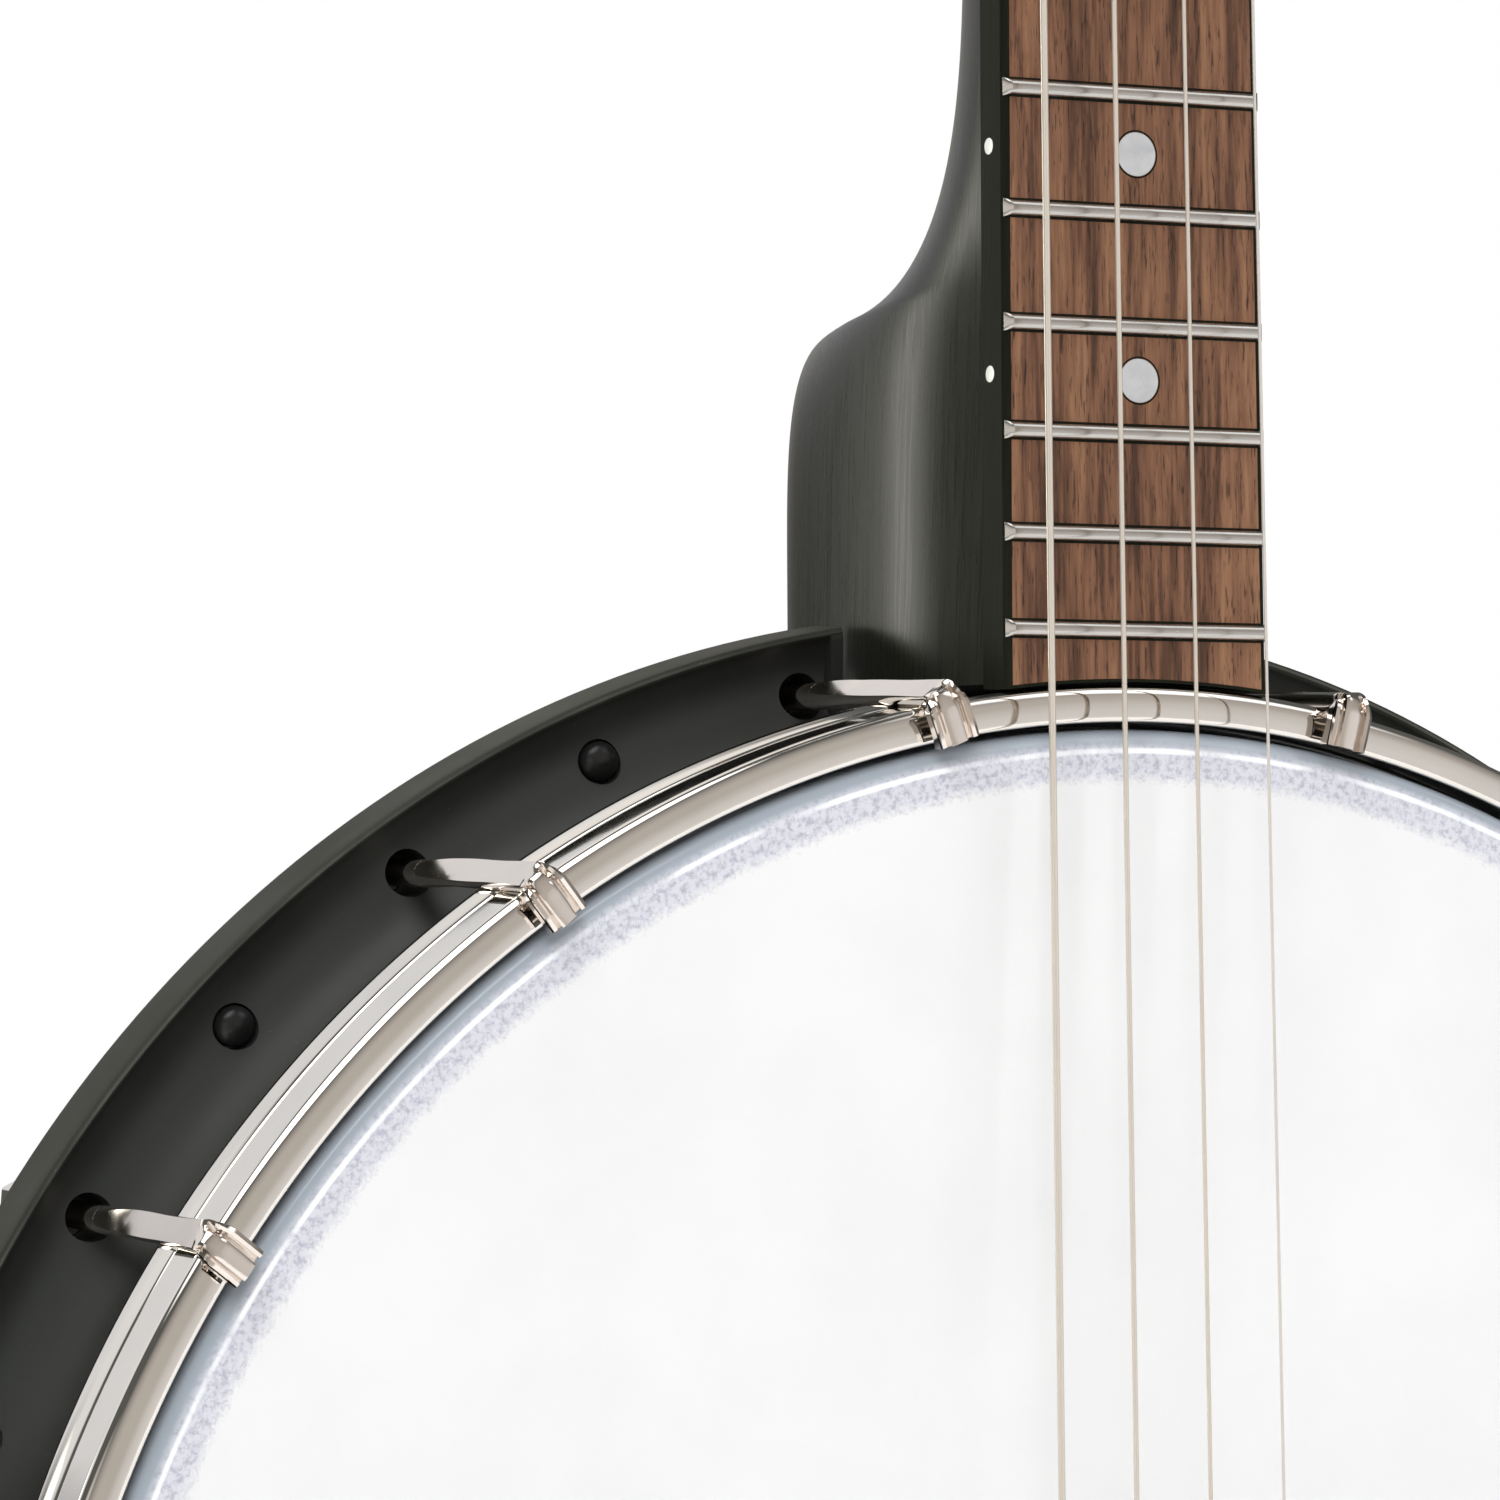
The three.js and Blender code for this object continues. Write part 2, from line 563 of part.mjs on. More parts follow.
// From the tailpiece's lip over the bridge to the nut, then down beside the post.
function stringPath(i) {
  const neck = neckFrame(new THREE.Object3D()).matrix;
  const peg = pegheadFrame(new THREE.Object3D()).matrix;
  const [postX, postZ] = TUNER_PLACES[i];
  const inner = postX - Math.sign(postX) * (POST_RADIUS + STRING_DIAMETERS[i] / 2 + GAP);
  const atNut = new THREE.Vector3(
    stringX(i, STRING_SPREAD_AT_NUT), -STRING_HEIGHT_AT_NUT, NUT_ALONG_NECK + 2.5).applyMatrix4(neck);
  const atPost = new THREE.Vector3(inner, POST_HOLE_AT + 2, postZ).applyMatrix4(peg).applyMatrix4(neck);
  const bridgeX = stringX(i, STRING_SPREAD_AT_BRIDGE);
  const path = new THREE.CurvePath();
  const points = [
    new THREE.Vector3(bridgeX * TAILPIECE_STRING_SPREAD, TAILPIECE_DEPTH - 1.4, TAILPIECE_LIP_Z - 6),
    new THREE.Vector3(bridgeX, STRING_DEPTH_AT_BRIDGE, BRIDGE_Z),
    atNut,
    atPost,
  ];
  for (let k = 0; k + 1 < points.length; k += 1) {
    path.add(new THREE.LineCurve3(points[k], points[k + 1]));
  }
  return path;
}

// One straight run of string, as a closed hexagonal tube.
function stringRun(curve, diameter) {
  const radius = Math.max(diameter / 2, 0.25);
  const shape = new THREE.Shape(vec2(arc(0, 0, radius, 0, 300, 5)));
  return new THREE.ExtrudeGeometry(shape, { steps: 1, bevelEnabled: false, extrudePath: curve });
}

function stringSolid(i) {
  const runs = stringPath(i).curves.map((curve, k, all) => {
    const along = curve.getTangent(0).multiplyScalar(k + 1 < all.length ? 0.3 : 0);
    const longer = new THREE.LineCurve3(curve.v1, curve.v2.clone().add(along));
    return stringRun(longer, STRING_DIAMETERS[i]);
  });
  return combine(runs[0], { add: runs.slice(1) });
}

// A three-footed bridge, thick at the feet and thin at the crest.
function bridge() {
  const top = -STRING_DEPTH_AT_BRIDGE - 0.8;
  const foot = 33;
  const arch = 9;
  const archHalf = 8.2;
  const archway = (x) => [
    [x + archHalf, GAP],
    ...arc(x, arch - archHalf * 0.7, archHalf * 0.9, 20, 160, 6),
    [x - archHalf, GAP],
  ];
  const outline = [
    ...archway(-14.5).reverse(),
    ...archway(14.5).reverse(),
    [foot, GAP],
    [foot - 2, 5],
    [22, top - 1],
    [20, top],
    [-20, top],
    [-22, top - 1],
    [-foot + 2, 5],
    [-foot, GAP],
  ];
  const slab = extruded(outline, 9).translate(0, 0, -4.5);
  const wedge = extruded([[-4, -1], [4, -1], [1.3, top + 1], [-1.3, top + 1]], 80)
    .rotateY(Math.PI / 2).translate(-40, 0, 0); // the taper from the feet to the crest
  const slots = STRING_DIAMETERS.map((d, i) => {
    const x = stringX(i, STRING_SPREAD_AT_BRIDGE);
    const half = d / 2 + GAP;
    return block(x - half, x + half, -STRING_DEPTH_AT_BRIDGE - half, top + 2, -6, 6);
  });
  return combine(slab, { intersect: [wedge], subtract: slots })
    .rotateZ(Math.PI).translate(0, 0, BRIDGE_Z);
}

// A pressed plate over the head that turns down outside the hoop and is held by the rod's end nut.
function tailpiece() {
  const plate = TAILPIECE_PLATE;
  const outside = -TAILPIECE_OUTSIDE;
  const wide = TAILPIECE_HALF_WIDTH;
  const narrow = TAILPIECE_TAIL_HALF_WIDTH;
  const legEnd = ROD_DEPTH + 8;
  const bend = 4;
  const outer = arc(outside - plate + bend, TAILPIECE_DEPTH + bend, bend, -90, -180, 4);
  const inner = arc(outside - plate + bend, TAILPIECE_DEPTH + bend, bend - plate, -180, -90, 4);
  const side = [
    [TAILPIECE_LIP_Z, TAILPIECE_DEPTH],
    ...outer,
    [outside - plate, legEnd],
    [outside, legEnd],
    ...inner,
    [TAILPIECE_LIP_Z, TAILPIECE_DEPTH + plate],
  ];
  const sheet = extruded(side, 60).rotateY(-Math.PI / 2).translate(30, 0, 0);
  const plan = new THREE.Path();
  plan.moveTo(narrow, outside - 20);
  plan.lineTo(narrow, outside - 2);
  plan.bezierCurveTo(narrow + 1, -138, wide, -132, wide, -120);
  plan.lineTo(wide, TAILPIECE_LIP_Z - 3);
  plan.lineTo(wide - 3, TAILPIECE_LIP_Z + 1);
  const right = plan.getPoints(5).map((p) => [p.x, p.y]);
  const left = right.slice().reverse().map(([x, y]) => [-x, y]);
  const cutter = extruded([...right, ...left], 80).rotateX(Math.PI / 2).translate(0, 60, 0);
  const stringHoles = STRING_DIAMETERS.map((_, i) => rodAlongY(
    1, TAILPIECE_DEPTH - 4, 0,
    stringX(i, STRING_SPREAD_AT_BRIDGE) * TAILPIECE_STRING_SPREAD, TAILPIECE_LIP_Z - 12, 8,
  ));
  const rodHole = rodAlongZ(STUD_RADIUS + GAP, outside - 10, outside + 10, ROD_DEPTH, 14);
  return combine(sheet, { intersect: [cutter], subtract: [...stringHoles, rodHole] });
}

// ---- Coordinator rod and its fixings ------------------------------------------------------------

// The stud in the heel, with the nut that clamps the rim's wall against the heel.
function neckStud() {
  const nutEnd = RIM_INNER_RADIUS - GAP - 0.4;
  const nutLength = 6;
  return combine(rodAlongZ(STUD_RADIUS, STUD_FOOT, STUD_TOP, ROD_DEPTH), {
    add: [rodAlongZ(7.4, nutEnd - nutLength, nutEnd, ROD_DEPTH, 6)],
  });
}

// The rod: socketed over the stud at the neck end, shouldered inside the rim at the tail end.
function coordinatorRod() {
  const shoulder = -(RIM_INNER_RADIUS - GAP - 1);
  const collar = ROD_RADIUS + 2.4;
  const collarLength = 5;
  const socket = ROD_RADIUS + 1.2;
  const socketTop = STUD_FOOT + 8;
  const socketLength = 16;
  const bore = STUD_RADIUS + GAP;
  const tail = -(HOOP_LEDGE_RADIUS + 12);
  return turned([
    [0, tail],
    [STUD_RADIUS, tail],
    [STUD_RADIUS, shoulder],
    [collar, shoulder],
    [collar, shoulder + collarLength],
    [ROD_RADIUS, shoulder + collarLength],
    [ROD_RADIUS, socketTop - socketLength],
    [socket, socketTop - socketLength],
    [socket, socketTop],
    [bore, socketTop],
    [bore, STUD_FOOT - 1],
    [0, STUD_FOOT - 1],
  ], 16).rotateX(Math.PI / 2).translate(0, ROD_DEPTH, 0);
}

// The nut that draws the rod, and with it the neck, up against the rim and the tailpiece's leg.
function rodNut() {
  const start = -(TAILPIECE_OUTSIDE + TAILPIECE_PLATE + GAP);
  const length = 6.5;
  return combine(rodAlongZ(7, start - length, start, ROD_DEPTH, 6), {
    subtract: [rodAlongZ(STUD_RADIUS + GAP, start - length - 1, start + 1, ROD_DEPTH)],
  });
}

// ---- Assembly -----------------------------------------------------------------------------------

function neckFrame(object) {
  object.position.set(0, NECK_PLANE_DEPTH, 0);
  object.rotation.x = -NECK_ANGLE;
  object.updateMatrix();
  return object;
}

const banjo = new THREE.Group();

place('rim_flange', rimWithFlange(), FINISHES.mouldedBlack(), banjo);
place('head', headFilm(), FINISHES.headWhite(), banjo);
place('flesh_hoop', fleshHoop(), FINISHES.steel(), banjo);
place('tension_hoop', tensionHoop(), FINISHES.nickel(), banjo);
for (let i = 0; i < HOOK_COUNT; i += 1) {
  const label = String(i + 1).padStart(2, '0');
  const station = new THREE.Group();
  station.rotation.y = hookAngle(i);
  banjo.add(station);
  place(`hook_${label}`, hook(), FINISHES.nickel(), station);
  place(`hook_nut_${label}`, hookNut(), FINISHES.nickel(), station);
}
place('coordinator_rod', coordinatorRod(), FINISHES.steel(), banjo);
place('neck_stud', neckStud(), FINISHES.steel(), banjo);
place('rod_nut', rodNut(), FINISHES.nickel(), banjo);
place('tailpiece', tailpiece(), FINISHES.nickel(), banjo);
place('bridge', bridge(), FINISHES.maple(), banjo);
for (let i = 0; i < STRING_COUNT; i += 1) {
  place(`string_${i + 1}`, stringSolid(i), FINISHES.steel(), banjo);
}

const neckGroup = neckFrame(new THREE.Group());
banjo.add(neckGroup);
place('neck', neckWithPeghead(), FINISHES.satinBlack(), neckGroup);
place('fretboard', fretboardWithFrets(), FINISHES.rosewood(), neckGroup);
place('nut', nut(), FINISHES.bone(), neckGroup);

const pegheadGroup = pegheadFrame(new THREE.Group());
neckGroup.add(pegheadGroup);
TUNER_PLACES.forEach(([x, z], i) => {
  const tuner = new THREE.Group();
  tuner.position.set(x, 0, z);
  pegheadGroup.add(tuner);
  place(`tuner_housing_${i + 1}`, tunerHousing(), FINISHES.nickel(), tuner);
  place(`tuner_post_${i + 1}`, tunerPost(), FINISHES.nickel(), tuner);
  place(`tuner_button_${i + 1}`, tunerButton(), FINISHES.pearl(), tuner);
});

export default banjo;
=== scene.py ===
import math

import bmesh
import bpy
from mathutils import Matrix, Vector


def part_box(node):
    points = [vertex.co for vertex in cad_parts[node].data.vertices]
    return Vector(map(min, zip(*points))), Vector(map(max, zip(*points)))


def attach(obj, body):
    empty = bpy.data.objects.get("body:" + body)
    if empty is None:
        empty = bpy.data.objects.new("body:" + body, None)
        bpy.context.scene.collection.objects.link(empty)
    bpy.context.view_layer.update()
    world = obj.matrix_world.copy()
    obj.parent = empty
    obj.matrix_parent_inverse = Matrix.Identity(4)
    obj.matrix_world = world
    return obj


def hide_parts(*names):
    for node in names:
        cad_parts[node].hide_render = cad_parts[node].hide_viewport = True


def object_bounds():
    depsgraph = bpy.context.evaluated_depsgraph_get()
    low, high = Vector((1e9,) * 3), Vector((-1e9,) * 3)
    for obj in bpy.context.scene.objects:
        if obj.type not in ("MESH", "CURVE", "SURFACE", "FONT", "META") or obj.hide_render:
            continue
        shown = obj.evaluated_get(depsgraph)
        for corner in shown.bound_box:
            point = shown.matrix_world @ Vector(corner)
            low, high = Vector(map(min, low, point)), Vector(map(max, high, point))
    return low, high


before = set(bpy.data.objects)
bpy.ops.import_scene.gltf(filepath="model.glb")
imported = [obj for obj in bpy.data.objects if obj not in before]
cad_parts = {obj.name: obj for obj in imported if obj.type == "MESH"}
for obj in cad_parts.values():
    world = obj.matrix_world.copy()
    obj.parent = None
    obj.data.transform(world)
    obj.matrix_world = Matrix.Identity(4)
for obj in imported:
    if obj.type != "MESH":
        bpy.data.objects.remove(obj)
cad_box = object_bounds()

# A four-string open-back tenor banjo. Shapes are drawn in millimetres: +Z up the neck, -Y out of the
# head, +X the treble side, origin at the centre of the head. Depth means distance along +Y.

MM = 0.001


# ---- Sizes read from the frame ------------------------------------------------------------------

def node_box(name):
    low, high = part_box(name)
    return low / MM, high / MM


FLANGE_R = node_box("rim_flange")[1].x
RIM_DEPTH = node_box("rim_flange")[1].y
LEDGE_R = node_box("tension_hoop")[1].x
HOOP_DEPTH = node_box("tension_hoop")[1].y
BRIDGE_Z = (node_box("bridge")[0].z + node_box("bridge")[1].z) / 2
HOOK_END = node_box("hook_01")[1].y
HOOK_NUT_START = node_box("hook_nut_01")[0].y
HOOK_NUT_END = node_box("hook_nut_01")[1].y
TAIL_LIP_Z = node_box("tailpiece")[1].z
TAIL_LEG_END = node_box("tailpiece")[1].y
TAIL_LOW_Z = node_box("tailpiece")[0].z
ROD_LOW, ROD_HIGH = node_box("coordinator_rod")
STUD_LOW = node_box("neck_stud")[0]
ROD_NUT_LOW, ROD_NUT_HIGH = node_box("rod_nut")
ROD_DEPTH = (ROD_LOW.y + ROD_HIGH.y) / 2

# ---- Sizes the frame's boxes don't give ---------------------------------------------------------

RIM_R = 139.7
RIM_WALL = 9.0
HOOP_INNER_R = 141.4
HOOP_WALL_R = LEDGE_R - 0.6
LEDGE_DEPTH = 7.3
CREST_DEPTH = 32.7
FLANGE_BACK = 41.2
COVE_R = 9.2
COVE_DEPTH = 25.2
NECK_SLOT = 23.5
NECK_SLOT_DEPTH = 12
LEDGE_STOP_X = 31.5
HOOK_COUNT = 16
HOOK_R = 146.8
WIRE_R = 1.7
ROD_HOLE_R = 4.2

SCALE_LENGTH = 584.2
FRET_COUNT = 19
DOT_FRETS = (3, 5, 7, 10, 12, 15, 17)
DOUBLE_DOT_FRET = 12
NECK_ANGLE = math.radians(3)
PEGHEAD_ANGLE = math.radians(12)
NECK_PLANE = -6.75
BOARD_THICKNESS = 5.5
BOARD_FOOT_Z = 120
EDGE_WIDTH = 0.9
HEEL_DEPTH = 68.5
PEGHEAD_THICKNESS = 15.0
NUT_WIDTH = 31.75
LAST_FRET_WIDTH = 36.7

STRING_DIAMETERS = (0.95, 0.7, 0.56, 0.4)
STRING_WRAPS = (0.29, 0.22, 0.18, None)
SPREAD_NUT = 26.9
SPREAD_BRIDGE = 31.7
STRING_OVER_NUT = 1.6
STRING_AT_BRIDGE = -15.8
TAIL_TOP = -8.0
TAIL_SPREAD = 0.8

BRIDGE_ALONG = BRIDGE_Z / math.cos(NECK_ANGLE)
NUT_ALONG = BRIDGE_ALONG + SCALE_LENGTH
NECK = Matrix.Translation((0, NECK_PLANE, 0)) @ Matrix.Rotation(-NECK_ANGLE, 4, "X")
PEG = (NECK @ Matrix.Translation((0, BOARD_THICKNESS + 0.3, NUT_ALONG + 2))
       @ Matrix.Rotation(-PEGHEAD_ANGLE, 4, "X"))
TUNER_PLACES = ((-21.5, 48), (-20, 98), (20, 98), (21.5, 48))
STRING_HOLE = -13
COIL_START = STRING_HOLE + 1.4
POST_R = 3.2
COIL_R = 2.62


def fret_along(n):
    return BRIDGE_ALONG + SCALE_LENGTH * 2 ** (-n / 12)


def board_half(z):
    share = (NUT_ALONG - z) / (NUT_ALONG - fret_along(FRET_COUNT))
    return (NUT_WIDTH + (LAST_FRET_WIDTH - NUT_WIDTH) * share) / 2


def string_x(i, spread):
    return spread * (i / (len(STRING_DIAMETERS) - 1) - 0.5)


# ---- Outlines -----------------------------------------------------------------------------------

def arc(cx, cy, radius, start, stop, steps):
    """Points on an arc, angles in degrees."""
    angles = [math.radians(start + (stop - start) * i / steps) for i in range(steps + 1)]
    return [(cx + radius * math.cos(a), cy + radius * math.sin(a)) for a in angles]


def bezier(p0, p1, p2, p3, steps):
    points = []
    for i in range(steps + 1):
        t = i / steps
        a, b, c, d = (1 - t) ** 3, 3 * t * (1 - t) ** 2, 3 * t * t * (1 - t), t ** 3
        points.append(tuple(a * w + b * x + c * y + d * z for w, x, y, z in zip(p0, p1, p2, p3)))
    return points


def shares(count, first=0):
    """Even steps from 0 to 1."""
    return [k / count for k in range(first, count + 1)]


def between(a, b, share):
    return a + (b - a) * share


def mirrored(half):
    """A half outline that starts beside the middle line and ends on it, with its mirror image."""
    return half + [(-x, y) for x, y in reversed(half[:-1])]


def smoothstep(low, high, x):
    t = min(1.0, max(0.0, (x - low) / (high - low)))
    return t * t * (3 - 2 * t)


# ---- Solids, as (points in millimetres, faces) --------------------------------------------------

def lathe(profile, segments=256, start=0.0, stop=360.0, closed=True):
    """A (radius, depth) profile turned about the Y axis, capped where it stops short of a full turn."""
    full = abs(stop - start) >= 360
    rings = segments if full else segments + 1
    count = len(profile)
    verts, faces = [], []
    for k in range(rings):
        a = math.radians(start + (stop - start) * k / segments)
        verts += [(r * math.sin(a), y, r * math.cos(a)) for r, y in profile]
    for k in range(segments):
        here, there = k * count, (k + 1) % rings * count
        for i in range(count if closed else count - 1):
            j = (i + 1) % count
            faces.append((here + i, here + j, there + j, there + i))
    if not full:
        faces.append(tuple(range(count)))
        faces.append(tuple((rings - 1) * count + i for i in reversed(range(count))))
    return verts, faces


def spun(profile, segments=48):
    """An open profile that starts and ends on the axis, turned about Y."""
    return lathe(profile, segments, closed=False)


def loft(loops):
    """A skin through loops of equal length, capped at both ends."""
    around = len(loops[0])
    verts = [p for loop in loops for p in loop]
    faces = []
    for k in range(len(loops) - 1):
        for i in range(around):
            j = (i + 1) % around
            a, b = k * around, (k + 1) * around
            faces.append((a + i, a + j, b + j, b + i))
    faces.append(tuple(reversed(range(around))))
    faces.append(tuple((len(loops) - 1) * around + i for i in range(around)))
    return verts, faces


def tube(points, radii, around):
    """A round tube through points, with a radius for each."""
    loops = []
    side = (points[1] - points[0]).orthogonal()
    for k, p in enumerate(points):
        ahead = points[min(k + 1, len(points) - 1)] - points[max(k - 1, 0)]
        ahead.normalize()
        side = (side - ahead * side.dot(ahead)).normalized()
        up = ahead.cross(side)
        loops.append([tuple(p + (side * math.cos(t) + up * math.sin(t)) * radii[k])
                      for t in (2 * math.pi * j / around for j in range(around))])
    return loft(loops)


def prism(outline, y0, y1):
    """An (x, z) outline carried from depth y0 to y1."""
    return loft([[(x, y, z) for x, z in outline] for y in (y0, y1)])


def box(x0, x1, y0, y1, z0, z1):
    return prism([(x0, z0), (x1, z0), (x1, z1), (x0, z1)], y0, y1)


def rod_along_y(radius, y0, y1, x=0, z=0, segments=32):
    return prism(arc(x, z, radius, 0, 360, segments)[:-1], y0, y1)


def on_rod_axis(part):
    """A part drawn about the Y axis, stood upright on the rod's axis: its depth becomes its height."""
    return moved(part, Matrix.Translation((0, ROD_DEPTH, 0)) @ Matrix.Rotation(math.pi / 2, 4, "X"))


def hexagon(corner_r):
    return arc(0, 0, corner_r, 30, 390, 6)[:-1]


def merged(*parts):
    verts, faces = [], []
    for part_verts, part_faces in parts:
        base = len(verts)
        verts += list(part_verts)
        faces += [tuple(base + i for i in f) for f in part_faces]
    return verts, faces


def moved(part, matrix):
    verts, faces = part
    return [tuple(matrix @ Vector(v)) for v in verts], faces


# ---- Meshes and pieces --------------------------------------------------------------------------

def as_mesh(shape, sharp_angle=35):
    """A mesh in metres from a solid, faces turned outwards, smooth except at sharp edges."""
    if isinstance(shape, bpy.types.Mesh):
        return shape
    verts, faces = shape
    mesh = bpy.data.meshes.new("solid")
    mesh.from_pydata(verts, [], faces)
    bm = bmesh.new()
    bm.from_mesh(mesh)
    bmesh.ops.remove_doubles(bm, verts=bm.verts, dist=1e-5)
    bmesh.ops.dissolve_degenerate(bm, edges=bm.edges, dist=1e-6)
    bmesh.ops.recalc_face_normals(bm, faces=bm.faces)
    bm.transform(Matrix.Scale(MM, 4))
    bm.to_mesh(mesh)
    bm.free()
    return shaded(mesh, sharp_angle)


def shaded(mesh, sharp_angle):
    mesh.shade_smooth()
    mesh.set_sharp_from_angle(angle=math.radians(sharp_angle))
    return mesh


def in_scene(name, data):
    obj = bpy.data.objects.new(name, data)
    bpy.context.scene.collection.objects.link(obj)
    return obj


def modified(mesh, kind, sharp_angle, **settings):
    """The mesh after one modifier."""
    obj = in_scene("base", mesh)
    modifier = obj.modifiers.new("change", kind)
    for key, value in settings.items():
        setattr(modifier, key, value)
    depsgraph = bpy.context.evaluated_depsgraph_get()
    depsgraph.update()
    result = bpy.data.meshes.new_from_object(obj.evaluated_get(depsgraph))
    bpy.data.objects.remove(obj)
    return shaded(result, sharp_angle)


def carve(shape, cutter, operation="DIFFERENCE", sharp_angle=35):
    """The shape after one exact boolean with a cutter."""
    tool = in_scene("cutter", as_mesh(cutter))
    result = modified(as_mesh(shape, sharp_angle), "BOOLEAN", sharp_angle,
                      operation=operation, solver="EXACT", object=tool)
    bpy.data.objects.remove(tool)
    return result


def bevelled(shape, width, segments=3, limit=40):
    """The shape with its hard edges rounded."""
    return modified(as_mesh(shape), "BEVEL", 35, width=width * MM, segments=segments,
                    limit_method="ANGLE", angle_limit=math.radians(limit), harden_normals=False)


def piece(name, shape, material, replaces=(), body="root", matrix=None, sharp_angle=35):
    """Puts a solid or a mesh in the scene as a named piece riding on a body."""
    mesh = as_mesh(shape, sharp_angle)
    obj = in_scene(name, mesh)
    if not mesh.materials:
        mesh.materials.append(material)
    if matrix is not None:
        obj.matrix_world = matrix
    flat = obj.modifiers.new("flat_faces_stay_flat", "WEIGHTED_NORMAL")
    flat.keep_sharp = True
    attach(obj, body)
    if replaces:
        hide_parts(*replaces)


def around_pot(angle):
    return Matrix.Rotation(angle, 4, "Y")


# ---- Material tools -----------------------------------------------------------------------------

class Nodes:
    """A short way to write the node tree of a material or world."""

    def __init__(self, owner):
        owner.use_nodes = True
        self.owner = owner
        self.tree = owner.node_tree

    def add(self, kind, **settings):
        node = self.tree.nodes.new(kind)
        for key, value in settings.items():
            if hasattr(node, key):
                setattr(node, key, value)
            else:
                node.inputs[key.replace("_", " ")].default_value = value
        return node

    def link(self, source, target):
        self.tree.links.new(source, target)

    def feed(self, target, value):
        if isinstance(value, bpy.types.NodeSocket):
            self.link(value, target)
        elif isinstance(value, tuple):
            target.default_value = (*value, 1)
        else:
            target.default_value = value

    def math(self, operation, a, b=0.0):
        node = self.add("ShaderNodeMath", operation=operation)
        self.feed(node.inputs[0], a)
        self.feed(node.inputs[1], b)
        return node.outputs[0]

    def plus(self, a, b):
        return self.math("ADD", a, b)

    def times(self, a, b):
        return self.math("MULTIPLY", a, b)

    def position(self, scale=(1, 1, 1)):
        """The point in the piece's own frame, stretched by scale, in millimetres."""
        coords = self.add("ShaderNodeTexCoord")
        mapping = self.add("ShaderNodeMapping")
        mapping.inputs["Scale"].default_value = [s / MM for s in scale]
        self.link(coords.outputs["Object"], mapping.inputs["Vector"])
        return mapping.outputs["Vector"]

    def split(self, vector):
        node = self.add("ShaderNodeSeparateXYZ")
        self.link(vector, node.inputs[0])
        return node.outputs

    def radius(self, place):
        """Distance from the pot's axis."""
        x, y, z = self.split(place)
        return self.math("SQRT", self.plus(self.times(x, x), self.times(z, z)))

    def noise(self, vector, size, detail=4.0, roughness=0.55, distortion=0.0):
        """Noise whose features are about size millimetres across."""
        node = self.add("ShaderNodeTexNoise", Scale=1 / size, Detail=detail, Roughness=roughness,
                        Distortion=distortion)
        self.link(vector, node.inputs["Vector"])
        return node.outputs["Fac"]

    def scatter(self, noise, amount):
        """The noise centred on 0 and stretched."""
        return self.times(self.math("SUBTRACT", noise, 0.5), amount)

    def ramp(self, value, stops):
        node = self.add("ShaderNodeValToRGB")
        elements = node.color_ramp.elements
        while len(elements) < len(stops):
            elements.new(0.5)
        for element, (place, colour) in zip(elements, stops):
            element.position = place
            element.color = (*colour, 1)
        self.link(value, node.inputs["Fac"])
        return node.outputs["Color"]

    def level(self, value, low, high, start=0.0, stop=1.0):
        """Maps value from start..stop to low..high, held at the ends."""
        node = self.add("ShaderNodeMapRange", clamp=True)
        for socket, number in zip(("From Min", "From Max", "To Min", "To Max"),
                                  (start, stop, low, high)):
            node.inputs[socket].default_value = number
        self.link(value, node.inputs["Value"])
        return node.outputs["Result"]

    def rise(self, value, start, stop):
        return self.level(value, 0.0, 1.0, start, stop)

    def fall(self, value, start, stop):
        return self.level(value, 1.0, 0.0, start, stop)

    def band(self, value, rise_start, rise_stop, fall_start, fall_stop):
        """0, then 1, then 0 again."""
        return self.times(self.rise(value, rise_start, rise_stop), self.fall(value, fall_start, fall_stop))

    def mix(self, share, a, b):
        """Colour a, turning to b as share goes to 1. Sockets 6, 7 and 2 are the node's colours."""
        node = self.add("ShaderNodeMix", data_type="RGBA")
        self.feed(node.inputs["Factor"], share)
        self.feed(node.inputs[6], a)
        self.feed(node.inputs[7], b)
        return node.outputs[2]

    def bump(self, height, strength, distance):
        node = self.add("ShaderNodeBump", Strength=strength, Distance=distance * MM)
        self.link(height, node.inputs["Height"])
        return node.outputs["Normal"]

    def finish(self, colour, roughness, normal, metallic=0.0, **extra):
        shader = self.tree.nodes["Principled BSDF"]
        self.feed(shader.inputs["Base Color"], colour)
        self.feed(shader.inputs["Roughness"], roughness)
        self.feed(shader.inputs["Metallic"], metallic)
        self.link(normal, shader.inputs["Normal"])
        for key, value in extra.items():
            self.feed(shader.inputs[key.replace("_", " ")], value)
        return self.owner


def new_material(name):
    return Nodes(bpy.data.materials.new(name))


# ---- Materials ----------------------------------------------------------------------------------

def plated_metal(name, colour, roughness, smudge=0.06, wear=0.012, metallic=1.0):
    """Bright plate: near-mirror, with faint smudges, fine wiping scratches and slow waviness."""
    m = new_material(name)
    place = m.position()
    smudges = m.noise(place, 9.0, 3.0)
    scratches = m.noise(m.position((0.08, 1.0, 1.0)), 0.35, 2.0)
    rough = m.plus(m.level(smudges, roughness, roughness + smudge, 0.45, 0.75),
                   m.level(scratches, 0.0, smudge * 0.5, 0.55, 0.8))
    tone = m.mix(m.level(smudges, 0.0, 0.35, 0.4, 0.8), colour, tuple(c * 0.86 for c in colour))
    return m.finish(tone, rough, m.bump(m.noise(place, 5.0, 1.0), wear, 0.6), metallic)


